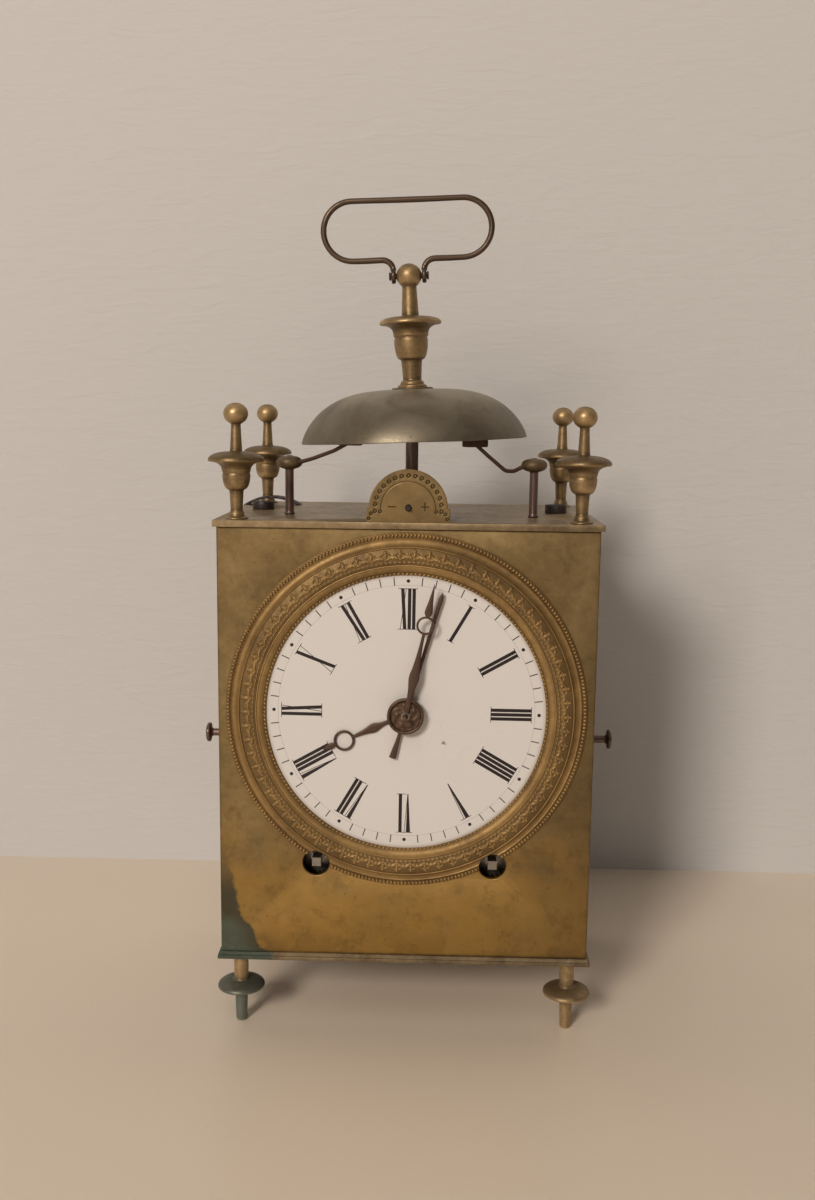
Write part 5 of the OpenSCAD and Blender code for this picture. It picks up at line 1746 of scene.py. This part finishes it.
@dataclass
class BellAndBail(Assembly):
    """Bell, washer, tall finial, pivot pin and the wire bail, all on a slight lean."""

    rim_r: float = 41.4
    rim_z: float = 210.0
    rise: float = 18.6
    wall: float = 1.6
    rail_z: float = 275.0
    top_z: float = 295.8
    half_width: float = 31.4
    wire: float = 1.05
    eye_x: float = 5.55
    neck_r: float = 4.0
    pivot_z: float = 269.0

    def skin(self, r: Grid) -> Grid:
        """Height of the bell: the rim plus the rise times a power of 1 - (r/R)^3.5."""
        return self.rim_z + self.rise * np.clip(1 - (r / self.rim_r) ** 3.5, 0, 1) ** (1 / 1.41)

    def bell(self) -> Shell:
        """Outer skin, flat rim and inner skin as one closed outline.

        Returns:
            The surface.
        """
        s = np.linspace(0, 1, 90)
        out = 2.0 + (self.rim_r - 2.0) * (1 - (1 - s) ** 2)
        inner = self.rim_r - self.wall
        back = 2.0 + (inner - 2.0) * (1 - (1 - s[::-1]) ** 2)
        under = self.skin(back * self.rim_r / inner) - self.wall * (1 - (back / inner) ** 6)
        outer_z = self.skin(out)
        outer_z[-1] = self.rim_z + 0.25
        under = np.maximum(under, self.rim_z + 0.15)
        rim = rows((self.rim_r - 0.25, self.rim_z), (inner + 0.2, self.rim_z))
        outline = np.concatenate([np.stack([out, outer_z], 1), rim, np.stack([back, under], 1)])
        grid = turned(outline, 220, (0, MID_Y, 0))
        a = np.linspace(0, TURN, 220, endpoint=False)[None]
        share = np.clip(outline[:, 0] / self.rim_r, 0, 1)[:, None] ** 4
        grid[..., 2] += share * (0.10 * np.sin(3 * a + 0.5) + 0.05 * np.sin(7 * a))
        return Shell().add(leaning(grid), round_rows=True)

    def finial(self) -> Shell:
        """Tall turned finial under the bail.

        Returns:
            The surface.
        """
        z0 = self.rim_z + self.rise + 0.6
        outline = np.concatenate([
            rows((0, -2.0), (1.9, -2.0), (1.9, 0), (5.4, 0), (5.4, 0.8)), flare((4.4, 1.1), (3.35, 2.6), 8),
            rows((3.8, 9.7), (3.85, 9.95)), bowl((4.3, 10.15), (6.2, 17.2)),
            rows((6.2, 17.5), (5.85, 17.8), (5.9, 18.1), (6.4, 18.4), (6.4, 19.4)),
            flare((6.5, 19.8), (11.15, 22.6)), rows((11.3, 22.85), (11.3, 23.2)),
            dome(3.25, 23.4, 8.0, 2.1, 88),
            rows((3.2, 25.6), (3.1, 26.2), (2.6, 35.5)), ball(2.6, self.pivot_z - z0, 4.6, 4.4)])
        shape = lathe_cut(outline, 0.22, 2)
        # Tone from the outline's curvature: hollows low for grime and painted shade, crests high for a painted
        # highlight.
        tone = np.clip(0.6 - 40 * np.gradient(np.gradient(shape[:, 0])), 0, 1)
        tone = blurred(tone)
        return Shell().add(leaning(turned(shape, 72, (0, MID_Y, z0))), mark=tone[:, None])

    def washer(self) -> Shell:
        """Thin round seat between the bell and its finial.

        Returns:
            The surface.
        """
        z0 = self.rim_z + self.rise
        section = rows((2.0, 0.02), (7.4, 0.02), (7.6, 0.2), (7.6, 0.45), (7.4, 0.6), (2.0, 0.6))
        shape = eased(section, 0.15, 1)
        return Shell().add(leaning(turned(shape, 60, (0, MID_Y, z0))), round_rows=True)

    def pin(self) -> Shell:
        """Pivot pin through the ball, with a small head at each end."""
        shape = rows((0, -7.2), (1.3, -7.2), (1.5, -7.0), (1.5, -6.6), (1.05, -6.5), (1.05, 6.5), (1.5, 6.6),
                     (1.5, 7.0), (1.3, 7.2), (0, 7.2))
        return Shell().add(leaning(turned(shape, 28, (0, MID_Y, self.pivot_z), (1, 0, 0), (0, 0, 1))))

    def bail(self) -> Shell:
        """The wire: neck, rail, round end and top bar, then the same way back.

        The path is straight runs and quarter or half turns. Slow sines of a fifth of
        a millimetre take the machine look off it.

        Returns:
            The wire and its two flattened eyes.
        """
        end_r = (self.top_z - self.rail_z) / 2
        mid = (self.top_z + self.rail_z) / 2
        end_x = self.half_width - self.wire - end_r
        q = np.radians(np.linspace(0, 90, 14))
        h = np.radians(np.linspace(-90, 90, 30))
        neck_x = self.eye_x + self.neck_r
        half = np.concatenate([
            rows((self.eye_x, self.pivot_z + 1.9), (self.eye_x, self.rail_z - self.neck_r)),
            np.stack([neck_x - self.neck_r * np.cos(q),
                      self.rail_z - self.neck_r + self.neck_r * np.sin(q)], 1),
            rows((end_x, self.rail_z)), np.stack([end_x + end_r * np.cos(h), mid + end_r * np.sin(h)], 1)])
        flat = np.concatenate([half * (-1, 1), half[::-1]])
        flat = eased(flat, 0.5, 2)
        run = np.arange(len(flat)) * 0.5
        fade = np.clip(np.minimum(run, run[::-1]) / 12, 0, 1)
        path = np.stack([flat[:, 0], MID_Y + fade * 0.25 * np.sin(run / 17),
                         flat[:, 1] - fade * 0.12 * (1 + np.sin(run / 11 + 1))], 1)
        wide = self.wire * (1 + 0.03 * np.sin(run / 5))
        shell = Shell().add(leaning(swept(path, wide, self.wire, (0, 1, 0), 18)))
        t = np.linspace(0, TURN, 12, endpoint=False)
        ring = np.stack([1.9 + 0.72 * squarer(np.cos(t), 0.7), 0.8 * squarer(np.sin(t), 0.7)], 1)
        for s in (-1, 1):
            eye = turned(ring, 36, (s * self.eye_x, MID_Y, self.pivot_z), (1, 0, 0), (0, 0, 1))
            shell.add(leaning(eye), round_rows=True)
            root = (s * self.eye_x, MID_Y, self.pivot_z + 2.6)
            shell.add(leaning(pillow(root, (0.85, 1.2, 1.2), 0, 0.6, 20)))
        return shell

    def build(self) -> None:
        """Makes the bell, its fittings and the bail."""
        self.report(self.bell().build("bell_dome", 50), Body.CASE, Slot.BELL, "bell")
        self.report(self.washer().build("bell_seat", 50), Body.CASE, Slot.TOP, "bell_washer")
        self.report(self.finial().build("bell_finial_turned"), Body.CASE, Slot.TURNED, "bell_finial")
        self.report(self.pin().build("bail_pin"), Body.CASE, Slot.DARK, "bail_pivot")
        self.report(self.bail().build("bail_wire", 50), Body.BAIL, Slot.BAIL, "bail_handle")


@dataclass
class Hammer:
    """One hammer: where its arbor stands, its arm's course and its head's turn."""

    name: str
    side: Side
    body: Body
    course: tuple[tuple[float, float, float], ...]
    head_turn: float


@dataclass
class Hammers(Assembly):
    """Upright arbors with lens-shaped collets, bent wire arms and bar heads."""

    arm_r: float = 0.72
    head_half: tuple[float, float, float] = (4.75, 1.2, 1.3)

    def both(self) -> tuple[Hammer, Hammer]:
        """The strike hammer on the left and the alarm hammer on the right."""
        return (Hammer("strike", Side.LEFT, Body.STRIKE_HAMMER,
                       ((4.2, -2.2, 0.3), (9, -5, 1.7), (17, -9.6, 4.7), (22.5, -12.6, 7.7)), -29.0),
                Hammer("alarm", Side.RIGHT, Body.ALARM_HAMMER,
                       ((-4.2, -2.2, -0.4), (-7.5, -4.4, -2.0), (-10.5, -6.2, -1.8), (-17, -9.8, 3.6),
                        (-21.5, -12, 7.6)), 29.0))

    def axis(self, hammer: Hammer) -> Grid:
        """Top end of the arbor's axis, at the height of the collet's middle."""
        joint = next(j for j in frame["joints"] if j["name"] == f"{hammer.name}_hammer_turn")
        return np.array(joint["pos_m"], float) / MM

    def arbor(self, hammer: Hammer) -> Shell:
        """Post, lower collar and the lens-shaped collet, turned in one.

        Args:
            hammer: Which hammer.

        Returns:
            The surface.
        """
        x, y, z = self.axis(hammer)
        low, _ = low_high(f"{hammer.name}_hammer_arbor")
        t = np.radians(np.linspace(-74, 74, 18))
        lens = np.stack([1.6 + 3.0 * np.cos(t), 2.15 * np.sin(t)], 1)
        outline = np.concatenate([
            rows((0, low.z - z), (1.3, low.z - z), (1.55, low.z - z + 0.3), (1.55, TOP_Z + 0.1 - z),
                 (1.85, TOP_Z + 0.2 - z), (1.95, TOP_Z + 0.5 - z), (1.8, TOP_Z + 0.8 - z),
                 (1.55, TOP_Z + 1.0 - z), (1.55, -2.4)),
            lens, rows((1.1, 2.3), (1.1, 2.55), (0.9, 2.6), (0, 2.6))])
        shape = lathe_cut(outline, 0.2, 1)
        tail = pillow((x, y - 4.6, low.z + 3.5), (1.0, 4.4, 1.5), 0, 0.3)
        return Shell().add(turned(shape, 40, (x, y, z))).add(tail)

    def collet(self, hammer: Hammer) -> Shell:
        """Brass lens over the top of the post, a hair larger than the steel in it.

        Args:
            hammer: Which hammer.

        Returns:
            The surface.
        """
        x, y, z = self.axis(hammer)
        t = np.radians(np.linspace(-72, 72, 22))
        lens = np.stack([1.75 + 2.9 * np.cos(t), 0.05 + 2.2 * np.sin(t)], 1)
        outline = np.concatenate([rows((0, -2.35), (1.75, -2.35), (2.1, -2.2)), lens,
                                  rows((1.6, 2.3), (0, 2.3))])
        shape = lathe_cut(outline, 0.18, 1)
        return Shell().add(turned(shape, 48, (x, y, z)))

    def arm(self, hammer: Hammer) -> Shell:
        """Bent wire from the collet to the head, and the bar that strikes the bell.

        Args:
            hammer: Which hammer.

        Returns:
            The surface.
        """
        at = self.axis(hammer)
        start = (hammer.side.value * -2.6, -1.3, hammer.course[0][2] * 0.7)
        course = np.array([start] + list(hammer.course)) + at
        path = eased(course, 0.35, 4)
        taper = np.interp(np.linspace(0, 1, len(path)), [0, 0.15, 1], [0.85, 0.72, 0.66])
        shell = Shell().add(swept(path, taper, taper, (0, 0, 1), 16))
        head = at + np.array(hammer.course[-1]) + (0, 0, 0.2)
        return shell.add(pillow(head, self.head_half, hammer.head_turn, 0.25, 32))

    def build(self) -> None:
        """Makes both hammers."""
        for hammer in self.both():
            self.report(self.arbor(hammer).build(f"{hammer.name}_post"), hammer.body, Slot.HAND,
                        f"{hammer.name}_hammer_arbor", other=self.finishes.standing)
            self.report(self.collet(hammer).build(f"{hammer.name}_collet"), hammer.body, Slot.HAND,
                        other=self.finishes.collet)
            self.report(self.arm(hammer).build(f"{hammer.name}_arm"), hammer.body, Slot.HAND,
                        f"{hammer.name}_hammer")


@dataclass
class RegulatorPlate(Assembly):
    """Half-round slow and fast plate with a punched border and two plain signs."""

    radius: float = 13.4
    centre_z: float = 187.9
    foot_half: float = 14.2
    thick: float = 1.2
    dots: int = 17
    dot_r: float = 11.3
    step_z: float = 188.1
    hole_z: float = 188.3
    gap: float = 0.02

    def relief(self, x: Grid, z: Grid) -> Grid:
        """Depth of the face below flat, in millimetres.

        Punched dots are rings with a raised middle, the arc and the signs are fine
        grooves, and the hole for the arbor goes almost through.

        Args:
            x: Distance right of the middle line.
            z: Height above the table.

        Returns:
            The depth at each point.
        """
        dz = z - self.centre_z
        r = np.hypot(x, dz)
        groove = 0.16 * np.exp(-(((r - 9.3) / 0.16) ** 2)) * (dz > -0.6)
        angles = np.radians(np.linspace(-4, 184, self.dots))
        spots = [(self.dot_r * math.cos(a), self.dot_r * math.sin(a), 1.0) for a in angles]
        for s in (-1, 1):
            spots += [(s * 12.6, -1.6, 0.85), (s * 13.3, -3.3, 0.85), (s * 9.5, -0.9, 0.85)]
        punched = np.zeros_like(x)
        for sx, sz, size in spots:
            d = np.hypot(x - sx, dz - sz) / size
            punched = np.maximum(punched, 0.26 * np.exp(-((d - 0.52) / 0.2) ** 2))
        left = 0.2 * (np.abs(x + 5.6) < 1.4) * (np.abs(dz - 0.8) < 0.2)
        right = 0.2 * np.maximum((np.abs(x - 5.6) < 1.4) * (np.abs(dz - 0.8) < 0.2),
                                 (np.abs(dz - 0.8) < 1.4) * (np.abs(x - 5.6) < 0.2))
        hole = (self.thick - 0.1) * (np.hypot(x, z - self.hole_z) < 1.12)
        return np.maximum.reduce([groove, punched, left, right, hole])

    def build(self) -> None:
        """Makes the plate as a closed loop of front and back for each height."""
        low, high = low_high("regulator_plate")
        above = self.step_z + self.gap
        flat = np.concatenate([np.linspace(TOP_Z, self.step_z, 40), [above]])
        t = np.linspace(0, 1, 130)[1:]
        dome_z = above + (self.centre_z + self.radius - above) * np.sin(t * math.pi / 2)
        z = np.concatenate([flat, dome_z])[:, None]
        chord = np.sqrt(np.clip(self.radius ** 2 - (z - self.centre_z) ** 2, 0, None))
        half = np.where(z <= self.step_z, self.foot_half, chord)
        s = np.linspace(-1, 1, 300)[None]
        x = half * s
        depth = self.relief(x, z + 0 * x)
        face = low.y + depth
        rim = np.clip((1 - np.abs(s)) * half / 0.35, 0, 1) * np.clip((z - TOP_Z + 1) / 0.3, 0, 1)
        face = face + 0.14 * (1 - rim) ** 2
        front = np.stack([x, face, z + 0 * x], -1)
        back = np.stack([x, np.full_like(x, high.y), z + 0 * x], -1)[:, ::-1]
        loop = np.concatenate([front, back], 1)
        middle = loop[:1].copy()
        middle[..., 1] = (low.y + high.y) / 2
        # Flat face and back marked high for a painted highlight; punched dots, grooves and signs low, for grime
        # and painted shade.
        mark = np.concatenate([np.clip(1 - 3.6 * depth, 0, 1), np.ones_like(x)], 1)
        mark = np.concatenate([mark[:1], mark])
        piece = Shell().add(np.concatenate([middle, loop]), mark=mark).build("regulator_scale", 50)
        self.report(piece, Body.CASE, Slot.TURNED, "regulator_plate", other=self.finishes.scale)


@dataclass
class Case(Assembly):
    """Panels, plates, doors and small steel parts of the box."""

    spring_rise: float = 3.6

    def bow_spring(self) -> Shell:
        """Arched strip: a flat section carried along an arc of a circle.

        Returns:
            The surface.
        """
        low, high = low_high("bow_spring")
        span, rise = high.x - low.x, self.spring_rise
        radius = (span ** 2 / 4 + rise ** 2) / (2 * rise)
        reach = math.asin(span / 2 / radius)
        a = np.linspace(-reach, reach, 60) * 0.985
        mid = (low.x + high.x) / 2
        path = np.stack([mid + (radius - 0.55) * np.sin(a), 0 * a + (low.y + high.y) / 2,
                         TOP_Z + rise - radius + (radius - 0.55) * np.cos(a)], 1)
        wide = (high.y - low.y) / 2 * (1 + 0.04 * np.sin(a * 40))
        return Shell().add(swept(path, wide, 0.5, (0, 0, 1), 24, 0.35))

    def build(self) -> None:
        """Eases the edges of copies of the panels, plates and small parts, dresses them, and makes the bow spring.
        """
        others = {"base_plate": self.finishes.base_brass, "bell_standard": self.finishes.lit_rod,
                  "top_plate_screws": self.finishes.black}
        for node, name, body, slot, width in (
                ("front_panel", "panel_front", Body.CASE, Slot.CASE, 0.35),
                ("back_panel", "panel_back", Body.CASE, Slot.CASE, 0.35),
                ("left_door", "side_door_left", Body.LEFT_DOOR, Slot.CASE, 0.25),
                ("right_door", "side_door_right", Body.RIGHT_DOOR, Slot.CASE, 0.25),
                ("top_plate", "plate_top", Body.CASE, Slot.TOP, 0.9),
                ("base_plate", "plate_base", Body.CASE, Slot.CASE, 0.3),
                ("top_plate_screws", "cheese_head_screws", Body.CASE, Slot.DARK, 0.25),
                ("bell_standard", "standard_square", Body.CASE, Slot.DARK, 0.3),
                ("suspension_cock", "cock_bracket", Body.CASE, Slot.GEARS, 0.2)):
            self.report(softened(node, name, width), body, slot, node, other=others.get(node))
        self.report(self.bow_spring().build("spring_strip", 50), Body.CASE, Slot.DARK, "bow_spring",
                    other=self.finishes.black)


@dataclass
class Movement(Assembly):
    """The train, its plates and the pendulum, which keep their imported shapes."""

    def build(self) -> None:
        """Dresses every node that no piece has replaced."""
        slots = {row["node"]: row["material_slot"] for row in frame["record"]["subparts"]}
        for node, piece in frame["nodes"].items():
            if not piece.hide_render:
                slot = Slot.DARK if node == "regulator_arbor" else Slot(slots[node])
                self.finishes.keep(node, slot)
                LOG.info("%s stays, in %s", node, slot.value)


# ------------------------------------------------------------------ stage


@dataclass(frozen=True)
class Stage:
    """Pale table, pale wall, one large soft lamp and warm light all round."""

    wall_y: float = 122.0
    size: float = 4000.0
    lamp_azimuth: float = 24.0
    lamp_elevation: float = 25.0
    lamp_distance: float = 3500.0
    lamp_size: float = 900.0
    lamp_power: float = 73.0
    ceiling_azimuth: float = 10.0
    ceiling_elevation: float = 56.0
    ceiling_distance: float = 2500.0
    ceiling_size: float = 1700.0
    ceiling_power: float = 8.0
    look_z: float = 130.0
    lamp_colour: Colour = (1.0, 0.87, 0.74)
    room_colour: Colour = (1.0, 0.88, 0.76)
    room_strength: float = 0.05
    table_colour: Colour = (0.845, 0.75, 0.64)
    wall_colour: Colour = (0.645, 0.655, 0.68)

    def sheet(self, name: str, corners: Sequence[Sequence[float]], colour: Colour, rough: float,
              one_sided: bool = False) -> None:
        """A flat backdrop from its four corners in millimetres.

        Args:
            name: Name of the object.
            corners: Four points in order.
            colour: Its colour.
            rough: Its roughness.
            one_sided: True if it is clear from behind, so that the back can be seen.
        """
        mesh = bpy.data.meshes.new(name)
        mesh.from_pydata([tuple(c * MM for c in p) for p in corners], [], [(0, 1, 2, 3)])
        mesh.update()
        obj = place(name, mesh)
        r = Recipe(f"{name}_paint")
        grain = r.noise(0.35, 5, 0.6)
        tone = r.blend(r.times(grain, 0.08), colour, shade(colour, 0.8))
        normal = r.bump(grain, 0.25, 0.25)
        if one_sided:
            normal = r.bump(r.noise(0.11, 3, 0.5, 1.2, r.stretch(0.45, 1, 1.6)), 0.9, 0.5, normal)
        r.finish(tone, rough, 0.0, normal)
        if one_sided:
            shader = r.out.inputs["Surface"].links[0].from_socket
            mixer, clear = r.node("ShaderNodeMixShader"), r.node("ShaderNodeBsdfTransparent")
            r.link(r.node("ShaderNodeNewGeometry").outputs["Backfacing"], mixer.inputs[0])
            r.link(shader, mixer.inputs[1])
            r.link(clear.outputs[0], mixer.inputs[2])
            r.link(mixer.outputs[0], r.out.inputs["Surface"])
        obj.data.materials.append(r.material)

    def lamp(self, name: str, azimuth: float, elevation: float, distance: float, size: float,
             power: float) -> None:
        """A round soft lamp that looks at the clock.

        Args:
            name: Its name.
            azimuth: Degrees to the left of straight ahead.
            elevation: Degrees up.
            distance: Distance from the clock.
            size: Its diameter.
            power: Its power in watts.
        """
        light = bpy.data.lights.new(name, "AREA")
        light.shape = "DISK"
        light.size = size * MM
        light.energy = power
        light.color = self.lamp_colour
        obj = bpy.data.objects.new(name, light)
        bpy.context.scene.collection.objects.link(obj)
        a, e = math.radians(azimuth), math.radians(elevation)
        target = Vector((0, 0, self.look_z * MM))
        away = Vector((-math.sin(a) * math.cos(e), -math.cos(a) * math.cos(e), math.sin(e)))
        obj.location = target + away * distance * MM
        obj.rotation_mode = "QUATERNION"
        obj.rotation_quaternion = (-away).to_track_quat("-Z", "Y")

    def build(self) -> None:
        """Makes the table, the wall, the lamp and the light of the room."""
        s, y = self.size, self.wall_y
        self.sheet("table_top", ((-s, -s, 0), (s, -s, 0), (s, s, 0), (-s, s, 0)), self.table_colour, 0.35)
        self.sheet("back_wall", ((-s, y, -1), (s, y, -1), (s, y, s), (-s, y, s)), self.wall_colour, 0.8, True)
        self.lamp("soft_lamp", self.lamp_azimuth, self.lamp_elevation, self.lamp_distance, self.lamp_size,
                  self.lamp_power)
        self.lamp("ceiling_lamp", self.ceiling_azimuth, self.ceiling_elevation, self.ceiling_distance,
                  self.ceiling_size, self.ceiling_power)
        world = bpy.data.worlds.new("room_light")
        bpy.context.scene.world = world
        world.use_nodes = True
        back = world.node_tree.nodes["Background"]
        back.inputs["Color"].default_value = (*self.room_colour, 1.0)
        back.inputs["Strength"].default_value = self.room_strength


@dataclass(frozen=True)
class View:
    """The camera: where it stands and how it is turned, in millimetres and degrees."""

    x: float = 11.0
    y: float = -445.3
    z: float = 220.0
    yaw: float = 1.54
    pitch: float = 8.82
    roll: float = 0.66
    lens: float = 36.18

    def build(self) -> None:
        """Makes the camera from three turns: yaw, then pitch, then roll."""
        yaw, pitch, roll = (math.radians(v) for v in (self.yaw, self.pitch, self.roll))
        turn = np.array([[math.cos(yaw), math.sin(yaw), 0], [-math.sin(yaw), math.cos(yaw), 0], [0, 0, 1]])
        forward = np.array([0, math.cos(pitch), -math.sin(pitch)])
        up = np.array([0, math.sin(pitch), math.cos(pitch)])
        right = np.array([1, 0, 0])
        across = right * math.cos(roll) + up * math.sin(roll)
        rise = -right * math.sin(roll) + up * math.cos(roll)
        basis = np.stack([across @ turn, rise @ turn, -forward @ turn], 1)
        data = bpy.data.cameras.new("view")
        data.sensor_width = 36.0
        data.sensor_fit = "AUTO"
        data.lens = self.lens
        data.clip_start, data.clip_end = 0.01, 20.0
        camera = bpy.data.objects.new("view", data)
        bpy.context.scene.collection.objects.link(camera)
        matrix = Matrix(basis.tolist()).to_4x4()
        matrix.translation = Vector((self.x, self.y, self.z)) * MM
        camera.matrix_world = matrix
        bpy.context.scene.camera = camera


def main() -> None:
    """Builds the clock, its stage and its camera."""
    View().build()
    Stage().build()
    bpy.context.scene.view_settings.view_transform = "Standard"
    finishes = Finishes()
    for assembly in (Case, Bezel, Dial, Hands, Turnings, BellAndBail, Hammers, RegulatorPlate, Movement):
        LOG.info("building %s", assembly.__name__)
        assembly(finishes).build()


if __name__ == "__main__":
    main()
